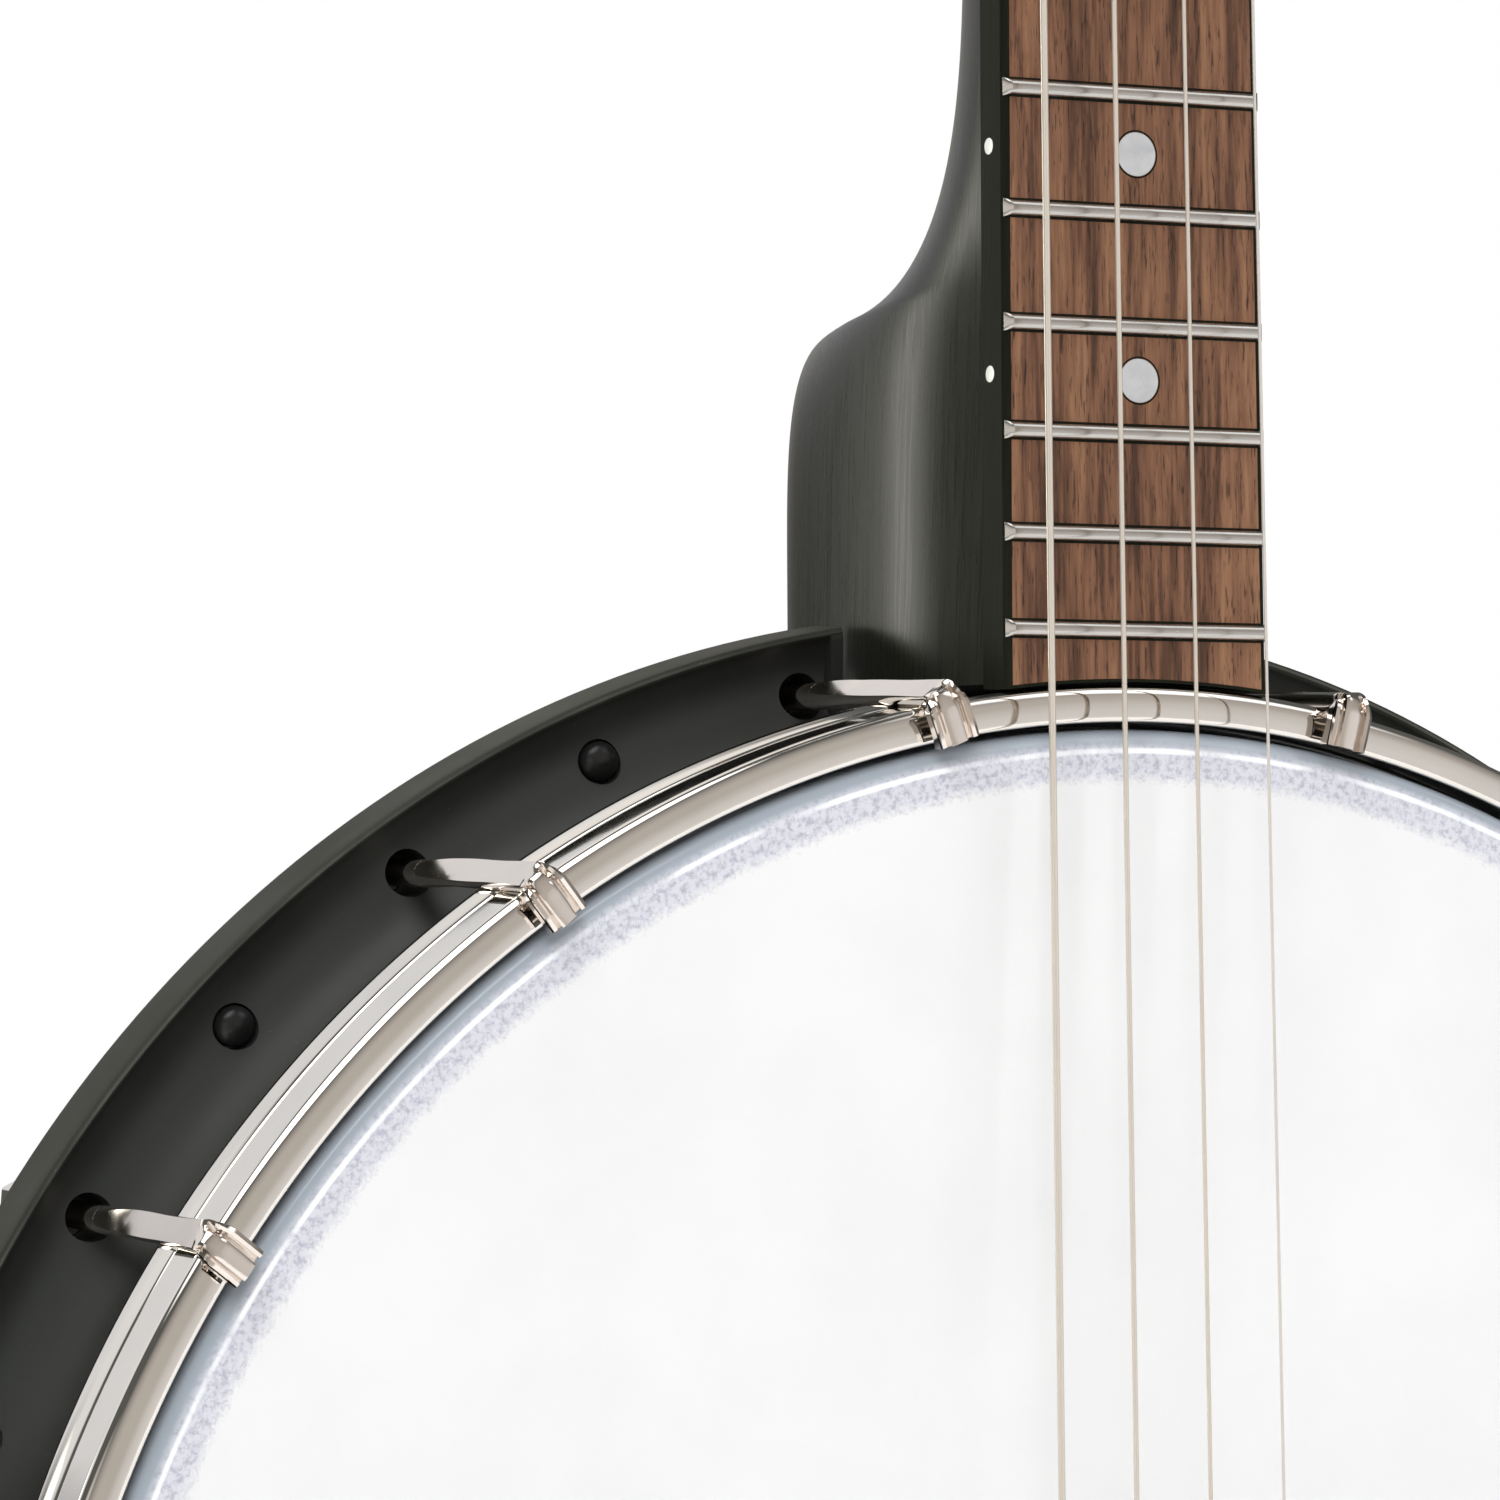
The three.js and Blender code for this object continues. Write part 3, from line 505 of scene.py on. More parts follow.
def moulded_plastic(name, colour, roughness, on_rim=False):
    """Matte black moulding with a fine sparkle-free texture and a little dust. On the rim, the flange's
    trough is painted lighter, a painted pool of light, its outer side is duller, and its crest carries a
    painted highlight."""
    m = new_material(name)
    place = m.position()
    broad = m.noise(place, 22.0, 3.0)
    fine = m.noise(place, 0.35, 3.0, 0.7)
    specks = m.noise(place, 0.55, 1.0)
    tone = m.mix(m.rise(broad, 0.35, 0.7), colour, tuple(c * 1.5 for c in colour))
    tone = m.mix(m.level(specks, 0.0, 0.5, 0.80, 0.84), tone, (0.25, 0.25, 0.24))
    rough = m.level(broad, roughness - 0.06, roughness + 0.08, 0.3, 0.7)
    sheen = 0.42
    if on_rim:
        radius = m.radius(place)
        crest = FLANGE_R - 0.6
        # The middle of the flange's trough, 142–151 mm, is painted lighter: a painted pool of light in the
        # hollow.
        blend_share = m.times(m.level(radius, 0.0, 0.9, 142, 146.5), m.fall(radius, 147.5, 151))
        tone = m.mix(blend_share, tone, (0.034, 0.0375, 0.036))
        tone = m.mix(m.rise(radius, crest + 0.2, crest + 0.35), tone, (0.017, 0.0185, 0.010))
        # A thin lighter band along the flange's crest, broken by noise: a painted highlight.
        painted_crest_highlight = m.band(radius, crest - 0.7, crest - 0.4, crest - 0.05, crest + 0.2)
        painted_crest_highlight = m.times(painted_crest_highlight, m.level(broad, 0.3, 1.0, 0.35, 0.6))
        tone = m.mix(painted_crest_highlight, tone, (0.085, 0.087, 0.074))
        sheen = m.level(radius, 0.42, 0.24, 148, 150.5)
    return m.finish(tone, rough, m.bump(fine, 0.22, 0.05), Specular_IOR_Level=sheen)


def satin_black_wood(name, sheen):
    """Satin black over fine straight grain: the pores still show as faint upright lines."""
    m = new_material(name)
    grain = m.noise(m.position((1.0, 1.0, 0.02)), 0.5, 5.0, 0.65)
    figure = m.noise(m.position((1.0, 1.0, 0.05)), 7.0, 3.0)
    tone = m.ramp(m.plus(m.times(grain, 0.55), m.times(figure, 0.45)),
                  ((0.3, (0.008, 0.0085, 0.006)),
                   (0.5, (0.011, 0.0118, 0.008)),
                   (0.72, (0.017, 0.018, 0.0125))))
    rough = m.level(grain, 0.24, 0.34, 0.3, 0.7)
    return m.finish(tone, rough, m.bump(grain, 0.10, 0.05), Specular_IOR_Level=sheen)


def fingerboard_wood():
    """Open-pored brown wood: wide light and dark streaks, with short dark pores along the grain."""
    m = new_material("fingerboard_wood")
    streaks = m.noise(m.position((1.0, 1.0, 0.035)), 3.6, 6.0, 0.62, 0.35)
    lines = m.noise(m.position((1.0, 1.0, 0.02)), 0.75, 3.0, 0.6)
    pores = m.noise(m.position((1.0, 1.0, 0.09)), 0.32, 2.0, 0.6)
    tone = m.ramp(m.plus(m.times(streaks, 0.66), m.times(lines, 0.34)),
                  ((0.30, (0.027, 0.014, 0.009)),
                   (0.42, (0.081, 0.038, 0.022)),
                   (0.50, (0.167, 0.079, 0.045)),
                   (0.60, (0.248, 0.127, 0.069)),
                   (0.74, (0.306, 0.172, 0.096))))
    open_pores = m.times(m.rise(pores, 0.57, 0.65), m.level(lines, 1.0, 0.25, 0.35, 0.7))
    tone = m.mix(m.times(open_pores, 0.85), tone, (0.018, 0.009, 0.006))
    height = m.math("SUBTRACT", m.times(lines, 0.4), open_pores)
    rough = m.level(lines, 0.48, 0.66, 0.3, 0.7)
    return m.finish(tone, rough, m.bump(height, 0.35, 0.08), Specular_IOR_Level=0.28)


def bridge_maple():
    m = new_material("bridge_maple")
    grain = m.noise(m.position((0.04, 1.0, 1.0)), 0.8, 5.0, 0.6)
    flecks = m.noise(m.position((0.25, 1.0, 1.0)), 0.3, 2.0)
    tone = m.ramp(grain, ((0.3, (0.36, 0.20, 0.09)),
                          (0.55, (0.56, 0.36, 0.18)),
                          (0.75, (0.66, 0.47, 0.26))))
    tone = m.mix(m.level(flecks, 0.0, 0.5, 0.62, 0.7), tone, (0.30, 0.16, 0.07))
    return m.finish(tone, m.level(grain, 0.4, 0.55, 0.3, 0.7), m.bump(grain, 0.2, 0.05))


def ebony():
    m = new_material("ebony_cap")
    grain = m.noise(m.position((0.04, 1.0, 1.0)), 0.5, 4.0)
    tone = m.ramp(grain, ((0.35, (0.010, 0.008, 0.007)), (0.7, (0.035, 0.026, 0.020))))
    return m.finish(tone, m.level(grain, 0.3, 0.45, 0.3, 0.7), m.bump(grain, 0.15, 0.04))


def head_film():
    """A clear film sprayed white in the middle. The coat ends in a ragged, speckled edge just inside
    the crown, and outside it the bare film looks grey-blue over the rim, lightened there with painted light.
    A painted highlight runs round it where the film turns down."""
    m = new_material("head_film")
    place = m.position()
    radius = m.radius(place)
    speckle = m.noise(place, 0.5, 3.0, 0.75)
    edge = m.plus(radius, m.scatter(m.noise(place, 2.2, 5.0, 0.7), 3.0))
    edge = m.plus(edge, m.scatter(speckle, 3.2))
    coat_ends = m.rise(edge, 133.9, 135.3)
    cloud = m.noise(place, 30.0, 4.0)
    grain = m.noise(place, 0.25, 2.0, 0.7)
    white = m.mix(m.rise(cloud, 0.35, 0.7), (0.725, 0.733, 0.745), (0.765, 0.773, 0.785))
    marks = m.rise(m.noise(place, 0.9, 4.0, 0.7), 0.46, 0.62)
    thin = m.mix(marks, (0.61, 0.62, 0.68), (0.40, 0.41, 0.49))
    # Past 138 mm the bare film turns grey-blue, its own look, lightened with painted light that fills the
    # shade in the gap by the hoop.
    bare = m.mix(m.rise(radius, 138.0, 139.2), thin, (0.31, 0.35, 0.40))
    # A narrow ring at 137.5–138.4 mm, broken by noise: a painted highlight where the film turns down over the
    # rim.
    painted_highlight_ring = m.band(radius, 137.5, 137.8, 138.1, 138.4)
    painted_highlight_ring = m.times(painted_highlight_ring, m.level(m.noise(place, 14.0, 2.0), 0.1, 1.0, 0.38, 0.55))
    bare = m.mix(painted_highlight_ring, bare, (0.93, 0.96, 0.98))
    tone = m.mix(coat_ends, white, bare)
    gloss = m.level(radius, 0.42, 0.1, 134.8, 136.8)
    height = m.plus(m.times(grain, 0.5), m.times(speckle, 0.5))
    height = m.times(height, m.fall(radius, 134.0, 137.0))
    return m.finish(tone, gloss, m.bump(height, 0.25, 0.05), Coat_Weight=0.25, Coat_Roughness=0.08)


def pearl_plastic(name, base, cloudy):
    m = new_material(name)
    place = m.position()
    cells = m.add("ShaderNodeTexVoronoi", feature="SMOOTH_F1", Scale=0.55)
    m.link(place, cells.inputs["Vector"])
    swirl = m.noise(place, 2.2, 4.0, 0.6, 1.5)
    share = m.times(cells.outputs["Distance"], swirl)
    tone = m.mix(m.rise(share, 0.1, 0.5), base, cloudy)
    return m.finish(tone, m.level(swirl, 0.12, 0.25), m.bump(swirl, 0.05, 0.1), Subsurface_Weight=0.15,
                    Subsurface_Scale=0.002, Coat_Weight=0.4, Coat_Roughness=0.1)


def bone():
    m = new_material("bone")
    grain = m.noise(m.position((1.0, 1.0, 0.3)), 0.6, 4.0)
    tone = m.mix(m.rise(grain, 0.35, 0.7), (0.78, 0.73, 0.60), (0.86, 0.82, 0.72))
    return m.finish(tone, m.level(grain, 0.28, 0.42), m.bump(grain, 0.1, 0.04),
                    Subsurface_Weight=0.1, Subsurface_Scale=0.002)


BLACK = (0.018, 0.0185, 0.017)

NICKEL = plated_metal("nickel_plate", (0.83, 0.79, 0.74), 0.045)
HOOK_NICKEL = plated_metal("hook_nickel", (0.85, 0.78, 0.72), 0.08, 0.08, 0.03)
FRET_METAL = plated_metal("fret_nickel_silver", (0.58, 0.555, 0.52), 0.22, 0.08, 0.01)
STEEL = plated_metal("zinc_steel", (0.52, 0.52, 0.52), 0.28, 0.15, 0.03)
WOUND = plated_metal("wound_string", (0.74, 0.68, 0.60), 0.22, 0.02, 0.0, 0.5)
PLAIN = plated_metal("plain_string", (0.76, 0.72, 0.67), 0.18, 0.02, 0.0, 0.5)
STRING_METALS = (WOUND, WOUND, WOUND, PLAIN)
COIL_METALS = (WOUND, WOUND, PLAIN, PLAIN)
MOULDING = moulded_plastic("moulded_black", BLACK, 0.50)
RIM_MOULDING = moulded_plastic("moulded_rim", BLACK, 0.50, on_rim=True)
PLUG = moulded_plastic("plug_black", (0.008, 0.008, 0.008), 0.3)
NECK_WOOD = satin_black_wood("satin_black_wood", 0.32)
EDGE_WOOD = satin_black_wood("edge_black_wood", 0.02)
BOARD_WOOD = fingerboard_wood()
MAPLE = bridge_maple()
EBONY = ebony()
FILM = head_film()
DOT_PEARL = pearl_plastic("dot_pearl", (0.50, 0.51, 0.52), (0.40, 0.41, 0.43))
SIDE_DOT = pearl_plastic("side_dot", (0.82, 0.80, 0.74), (0.76, 0.74, 0.68))
BUTTON_PEARL = pearl_plastic("button_pearl", (0.80, 0.77, 0.68), (0.55, 0.53, 0.47))
BONE = bone()


# ---- Pot ----------------------------------------------------------------------------------------

SPACING = 2 * math.pi / HOOK_COUNT
HOOK_ANGLES = [(i + 0.5) * SPACING for i in range(HOOK_COUNT)]
PLUG_ANGLES = [i * SPACING for i in range(1, HOOK_COUNT)]
HOOK_CIRCLE = Matrix.Translation((0, 0, HOOK_R))


def rim_profile():
    """The wall with its rounded bearing edge, the trough, the flange and the back, as (radius, depth)."""
    bearing, film_clearance = 2.2, 0.8
    inner = RIM_R - RIM_WALL
    inner_round, fillet, lip, edge = 4.0, 1.6, 0.55, 0.6
    return [
        (inner, 6.0),
        *arc(inner + inner_round, 6.0, inner_round, 190, 250, 4),
        (RIM_R - bearing - 1.0, film_clearance + 0.15),
        *arc(RIM_R - bearing, film_clearance + bearing, bearing, -90, 0, 8),
        *arc(RIM_R + COVE_R, COVE_DEPTH, COVE_R, 180, 62, 24),
        *arc(FLANGE_R - 0.2 - lip, CREST_DEPTH + lip, lip, -100, 0, 5),
        (FLANGE_R - 0.1, CREST_DEPTH + 1.5),
        (FLANGE_R, FLANGE_BACK - 0.8),
        *arc(FLANGE_R - edge, FLANGE_BACK - edge, edge, 0, 90, 4),
        *arc(RIM_R + fillet, FLANGE_BACK + fillet, fillet, 270, 180, 4),
        (RIM_R, RIM_DEPTH - 1),
        *arc(RIM_R - 1, RIM_DEPTH - 1, 1.0, 0, 90, 4),
        *arc(inner + 1, RIM_DEPTH - 1, 1.0, 90, 180, 4),
    ]


def make_rim():
    """The turned rim, its flange cut away at the neck, drilled for the hooks, plugs and rod."""
    hook_hole, plug_hole = 2.9, 2.78
    front, back, outside = NECK_SLOT_DEPTH, FLANGE_BACK + 4, RIM_R + 20
    half_angle = math.degrees(math.asin(NECK_SLOT / RIM_R))
    wall_z = math.sqrt(RIM_R ** 2 - NECK_SLOT ** 2)
    middle = box(-NECK_SLOT, NECK_SLOT, front, back, RIM_R - 0.02, outside + 10)
    ring = [(RIM_R, front), (outside, front), (outside, back), (RIM_R, back)]
    keep = box(-NECK_SLOT, NECK_SLOT, front - 2, back + 2, wall_z - 2, outside + 10)
    sides = carve(lathe(ring, 24, -half_angle, half_angle), keep, "INTERSECT")
    rim = carve(carve(lathe(rim_profile(), 320), middle), sides)
    drilled = [(a, hook_hole) for a in HOOK_ANGLES] + [(a, plug_hole) for a in PLUG_ANGLES]
    holes = [rod_along_y(r, CREST_DEPTH - 12, back, HOOK_R * math.sin(a), HOOK_R * math.cos(a))
             for a, r in drilled]
    rod_hole = on_rod_axis(rod_along_y(ROD_HOLE_R, -RIM_R - 10, RIM_R + 10))
    piece("rim", carve(rim, merged(*holes, rod_hole)), RIM_MOULDING, ["rim_flange"])


def make_flange_ends():
    """The two thin walls that close the trough beside the neck."""
    thick, corner, lean = 1.7, 1.4, 0.3
    front, back = CREST_DEPTH - 0.1, FLANGE_BACK - 0.3
    z_low = math.sqrt((RIM_R - 1) ** 2 - NECK_SLOT ** 2)
    z_top = math.sqrt((FLANGE_R - 0.25) ** 2 - NECK_SLOT ** 2)
    outline = [(front, z_low), *arc(front + corner, z_top - corner, corner, 180, 90, 6),
               (back, z_top), (back, z_low)]
    for number, side in ((1, -1), (2, 1)):
        wall = loft([[(side * (NECK_SLOT + out), y, z - drop) for y, z in outline]
                     for out, drop in ((0, 0), (thick, lean))])
        piece(f"flange_end_rib_{number}", wall, MOULDING)


def make_plugs():
    """Domed plugs in the spare holes, one between each pair of hooks except at the neck."""
    plug_r, dome, chamfer = 2.5, 2.0, 0.4
    seat = COVE_DEPTH + math.sqrt(COVE_R ** 2 - (RIM_R + COVE_R - HOOK_R) ** 2) + 0.15
    back = FLANGE_BACK + 1
    around = [(plug_r * math.sin(math.radians(k)), seat - dome * math.cos(math.radians(k)))
              for k in range(15, 91, 8)]
    profile = [(0, seat - dome - 0.05), (0.295, seat - dome - 0.024), *around,
               (plug_r, back - chamfer), (plug_r - chamfer, back), (0, back)]
    plug = as_mesh(moved(spun(profile, 32), HOOK_CIRCLE))
    for number, angle in enumerate(PLUG_ANGLES, 1):
        piece(f"flange_plug_{number:02d}", plug, PLUG, matrix=around_pot(angle))


def make_head():
    """The skin: flat, turned down round the rim's bearing edge, and held at its collar."""
    turn, thick = 2.5, 0.3
    collar, end = RIM_R + 0.8, HOOP_DEPTH - 1
    flat = (0, 40, 80, 110, 125, 132)
    profile = [*[(r, 0) for r in flat], *arc(collar - turn, turn, turn, -90, 0, 12),
               (collar, end), (collar - thick, end),
               *arc(collar - turn, turn, turn - thick, 0, -90, 12), *[(r, thick) for r in reversed(flat)]]
    piece("head_skin", spun(profile, 320), FILM, ["head"])


def make_flesh_hoop():
    """The metal channel crimped round the head's edge, seen as a bar with rounded corners."""
    corner = 0.8
    inner, outer = RIM_R + 1.1 + corner, HOOP_WALL_R - 1.6 - corner
    front, back = LEDGE_DEPTH + 0.3 + corner, HOOP_DEPTH - 0.2 - corner
    corners = ((inner, front, 180), (outer, front, 270), (outer, back, 0), (inner, back, 90))
    profile = [p for r, y, start in corners for p in arc(r, y, corner, start, start + 90, 4)]
    piece("flesh_hoop_ring", lathe(profile), STEEL, ["flesh_hoop"])


def make_tension_hoop():
    """The band, then its outer ledge, which stops in rounded ends beside the neck."""
    inner, wall, back = HOOP_INNER_R, HOOP_WALL_R, HOOP_DEPTH
    band = [*bezier((inner, 0.7), (inner, 0.2), (inner + 0.25, 0.06), (inner + 0.9, 0), 8),
            *bezier((wall - 3.0, -0.02), (wall - 1.2, 0.02), (wall, 0.35), (wall, 1.9), 14),
            (wall, back - 0.3), (wall - 0.3, back), (wall - 1.3, back),
            (wall - 1.3, LEDGE_DEPTH), (inner, LEDGE_DEPTH)]
    piece("hoop_band", lathe(band, 384), NICKEL, ["tension_hoop"])
    shoulder = bezier((wall - 0.02, LEDGE_DEPTH), (wall + 0.3, LEDGE_DEPTH + 0.2),
                      (LEDGE_R - 0.04, LEDGE_DEPTH + 2), (LEDGE_R, back - 0.7), 9)
    ledge = [(wall - 0.6, LEDGE_DEPTH + 0.12), *shoulder,
             (LEDGE_R - 0.05, back - 0.2), (LEDGE_R - 0.3, back), (wall - 0.6, back)]
    segments, end_bulge = 380, math.radians(1)
    stop = math.degrees(math.asin(LEDGE_STOP_X / LEDGE_R))
    verts, faces = lathe(ledge, segments, stop, 360 - stop)
    middle = (LEDGE_DEPTH + back) / 2
    for first, side in ((0, -1), (segments * len(ledge), 1)):
        for i in range(first, first + len(ledge)):
            reach = 1 - ((verts[i][1] - middle) / (middle - LEDGE_DEPTH)) ** 2
            verts[i] = tuple(around_pot(side * end_bulge * reach) @ Vector(verts[i]))
    piece("hoop_ledge", (verts, faces), NICKEL)


# Positions across a hook's section. In its claw they carry a low rib, a wide rib, a groove and a
# narrow rib: CLAW_KNOTS gives how far the front drops at each.
FACET_EDGE = 0.66
ACROSS = (-1, -0.98, -0.94, -0.86, -0.76, -FACET_EDGE, -0.6, -0.45, -0.25, 0, 0.2, 0.3, 0.38, 0.46, 0.54,
          0.6, FACET_EDGE, 0.76, 0.86, 0.94, 0.98, 1)
CLAW_KNOTS = ((-1, 1.1), (-0.94, 0.75), (-0.76, 0.68), (-FACET_EDGE, 0.8), (-0.6, 0.12), (-0.45, 0),
              (0, 0.04), (0.2, 0.12), (0.3, 0.3), (0.38, 0.85), (0.54, 0.9), (0.6, 0.3), (0.76, 0.14),
              (0.94, 0.4), (1, 0.9))


def knot_value(knots, x):
    for (x0, y0), (x1, y1) in zip(knots, knots[1:]):
        if x <= x1:
            return y0 + (y1 - y0) * (x - x0) / (x1 - x0)
    return knots[-1][1]


def hook_section(r, y, heading, half_width, round_to, top, fluting=0.0, knuckle=0.0, twist=0.0):
    """One loop: a round bar of depth round_to cut flat at top, its front turned left by twist degrees.
    heading 0 has its front outwards, 90 along -Y."""
    a = math.radians(heading)
    turn = math.radians(twist)
    cut = math.sqrt(max(0.0, 1 - (top / round_to) ** 2))
    edge = cut + (FACET_EDGE - cut) * min(1.0, fluting)
    loop = []
    for side, places in ((1, ACROSS), (-1, ACROSS[::-1])):
        for u in places:
            beyond = (abs(u) - FACET_EDGE) / (1 - FACET_EDGE)
            across = edge * abs(u) / FACET_EDGE if beyond < 0 else edge + (1 - edge) * beyond
            lift = min(round_to * math.sqrt(1 - min(1.0, across) ** 2), top)
            if side > 0:
                drop = knot_value(CLAW_KNOTS, u)
                lift += knuckle * (0.5 - drop) - fluting * drop
            x = math.copysign(half_width * across, u)
            rise = side * lift * math.cos(turn) + x * math.sin(turn)
            x = x * math.cos(turn) - side * lift * math.sin(turn)
            loop.append((x, y - rise * math.sin(a), r + rise * math.cos(a)))
    return loop


def hook_body():
    """The pressed part: the wire flattens into a blade in front of the flange, then bends into the claw."""
    blade_start, blade_full, blade_end = 29.0, 19.0, -0.6
    half_thick, pressed, bend = 0.85, 0.35, 1.7
    twist_start, twist_full = 36, 18
    claw_half, claw_round, claw_rise = 2.65, WIRE_R + 2.3, 0.4
    middle = HOOK_R + WIRE_R - pressed - half_thick
    claw_start, claw_end = middle - bend, HOOP_INNER_R - 0.2
    loops = []
    for share in shares(12):
        top = between(WIRE_R, half_thick, share ** 0.8)
        r = HOOK_R + WIRE_R - pressed * share - top
        twist = between(twist_start, twist_full, share)
        y = between(blade_start, blade_full, share)
        loops.append(hook_section(r, y, 0, WIRE_R, WIRE_R, top, twist=twist))
    for share in shares(8, 1):
        half = WIRE_R + 0.06 * math.sin(share * 8) + 0.15 * share
        y = between(blade_full, blade_end, share)
        loops.append(hook_section(middle, y, 0, half, WIRE_R, half_thick, twist=twist_full))
    for share in shares(14, 1):
        a = math.radians(90 * share)
        reach = bend + 0.6 * claw_rise * share
        knuckle = 0.7 * math.exp(-((share - 0.52) / 0.2) ** 2)
        twist = twist_full * (1 - smoothstep(0, 0.55, share))
        loops.append(hook_section(claw_start + reach * math.cos(a), blade_end - reach * math.sin(a),
                                  90 * share, between(1.85, claw_half, share),
                                  between(WIRE_R, claw_round, share), half_thick + claw_rise * share,
                                  smoothstep(0.25, 0.5, share), knuckle, twist))
    for share in shares(6, 1):
        r = between(claw_start, claw_end, share)
        fluting = 1 + 0.35 * smoothstep(0.6, 1, share)
        loops.append(hook_section(r, blade_end - bend - 0.6 * claw_rise, 90, claw_half, claw_round,
                                  half_thick + claw_rise, fluting))
    return loft(loops)


def hook_roll(i):
    """Each hook sits turned a little on its thread, in degrees."""
    return 10 * math.cos(0.95 * (HOOK_COUNT - 1 - i))


def make_hooks():
    """A round threaded wire, pressed flat in front of the flange and bent over the hoop."""
    pitch, thread_from, flat_start, end = 0.72, 42.0, 28.9, HOOK_END - 0.1
    shaft = [(0, flat_start), (WIRE_R, flat_start), (WIRE_R, thread_from)]
    y = thread_from
    while y < HOOK_END - 1.2:
        shaft += [(WIRE_R - 0.22, y + pitch * 0.25), (WIRE_R - 0.02, y + pitch * 0.75)]
        y += pitch
    shaft += [(WIRE_R - 0.6, end), (0, end)]
    hook = as_mesh(merged(hook_body(), moved(spun(shaft, 24), HOOK_CIRCLE)), sharp_angle=28)
    shaft_at = Matrix.Translation((0, 0, HOOK_R * MM))
    for i, angle in enumerate(HOOK_ANGLES):
        roll = Matrix.Rotation(-math.radians(hook_roll(i)), 4, "Y")
        piece(f"bracket_hook_{i + 1:02d}", hook, HOOK_NICKEL, [f"hook_{i + 1:02d}"],
              matrix=around_pot(angle) @ shaft_at @ roll @ shaft_at.inverted())


def make_hook_nuts():
    """A hexagonal nut with a round flange, drawn up to the back of the rim's flange."""
    start, end, washer = HOOK_NUT_START, HOOK_NUT_END, 1.4
    body = bevelled(prism(hexagon(4.1), start + washer - 0.2, end), 0.35)
    flange = spun([(0, start), (4.4, start), (4.75, start + 0.35), (4.75, start + 0.9),
                   (4.2, start + washer), (0, start + washer)])
    bore = rod_along_y(WIRE_R + 0.12, start - 2, end + 2, segments=24)
    nut = carve(carve(body, flange, "UNION"), bore)
    nut.transform(Matrix.Translation((0, 0, HOOK_R * MM)))
    for i, angle in enumerate(HOOK_ANGLES):
        piece(f"bracket_nut_{i + 1:02d}", nut, NICKEL, [f"hook_nut_{i + 1:02d}"], matrix=around_pot(angle))


# ---- Neck ---------------------------------------------------------------------------------------

def back_line():
    """(z, depth, z at the board) along the neck's back from the nut to the heel's foot. Through the
    heel's cove the sections lean, so the sides swell out slowly while the back turns sharply."""
    depth_at_nut, depth_at_cove = 20.6, 24.3
    top, cove_start, cove_end, foot = NUT_ALONG + 3, 240, 165.3, 126
    turn = (192.3, 57)
    shaft = [(between(top, cove_start, share), between(depth_at_nut, depth_at_cove, share))
             for share in shares(30)[:-1]]
    sweep = bezier((cove_start, depth_at_cove), (217.7, 24.6), (189.8, 26.5), turn, 44)
    corner = bezier(turn, (193.2, 68), (180, HEEL_DEPTH), (cove_end, HEEL_DEPTH), 30)
    cove = sweep + corner[1:]
    leaning = [(z, depth, between(cove_start, cove_end, share))
               for (z, depth), share in zip(cove, shares(len(cove) - 1))]
    heel = [(between(cove_end, foot, share), HEEL_DEPTH) for share in shares(6, 1)]
    return [(z, depth, z) for z, depth in shaft] + leaning + [(z, depth, z) for z, depth in heel]


def neck_section(z, depth, z_at_board, steps=44):
    """One rounded section under the board. It squares up into the heel, and towards the nut to meet the
    peghead's slab."""
    shaft_depth, heel_swell = 24, 3
    heel = min(1.0, max(0.0, (depth - shaft_depth) / (HEEL_DEPTH - shaft_depth)))
    power = 2.2 + 1.3 * heel + 7 * smoothstep(NUT_ALONG - 24, NUT_ALONG + 2, z)
    first = math.asin((BOARD_THICKNESS / depth) ** (power / 2))
    half = []
    for share in shares(steps):
        a = between(first, math.pi / 2, share)
        y = depth * math.sin(a) ** (2 / power)
        blend_share = min(1.0, (y - BOARD_THICKNESS) / 20)
        at = z + (z_at_board - z) * (1 - y / depth)
        side = board_half(at) + heel_swell * heel * blend_share * (2 - blend_share)
        half.append((side * max(0.0, math.cos(a)) ** (2 / power), y, at))
    return half + [(-x, y, at) for x, y, at in reversed(half[:-1])]


def pot_clearance(radius, y1):
    return rod_along_y(radius, -40, y1, segments=320)


def make_neck():
    neck = moved(loft([neck_section(*step) for step in back_line()]), NECK)
    neck = carve(neck, pot_clearance(RIM_R + 0.25, 120), sharp_angle=50)
    neck = carve(neck, pot_clearance(LEDGE_R + 0.3, HOOP_DEPTH + 0.3), sharp_angle=50)
    piece("neck_shaft", neck, NECK_WOOD, ["neck"])


def peghead_outline(steps=14):
    half = board_half(NUT_ALONG)
    shoulder, waist, corner, tip = (34, 42), (30, 128), (18, 146), (0, 158)
    return mirrored([(half, -4),
                     *bezier((half, 6), (18, 22), (33, 24), shoulder, steps),
                     *bezier(shoulder, (34.5, 70), (27, 90), waist, steps)[1:],
                     *bezier(waist, (31, 138), (27, 146), corner, steps)[1:],
                     *bezier(corner, (11, 146), (9, 158), tip, steps)[1:]])


def make_peghead():
    slab = moved(prism(peghead_outline(), 0, PEGHEAD_THICKNESS), PEG)
    piece("peghead", bevelled(slab, 1.2, 4, 50), NECK_WOOD)
    cover_top, screw_places = -1.6, (8.5, 28)
    outline = mirrored([(7, 5), *bezier((7.5, 14), (7, 24), (2.5, 27), (0, 34), 10)])
    cover = moved(prism(outline, cover_top, -0.02), PEG)
    piece("truss_cover", bevelled(cover, 0.4, 2), MOULDING)
    screw = spun([(0, -2.2), (1.0, -2.15), (1.6, -1.9), (1.7, cover_top + 0.05), (0, cover_top + 0.05)], 24)
    for number, z in enumerate(screw_places, 1):
        at = PEG @ Matrix.Translation((0, 0, z))
        piece(f"truss_cover_screw_{number}", moved(screw, at), NICKEL)


def board_outline(inset):
    top = NUT_ALONG - 0.2
    side = [(board_half(z) - inset, z) for z in (BOARD_FOOT_Z, top)]
    return side + [(-x, z) for x, z in reversed(side)]


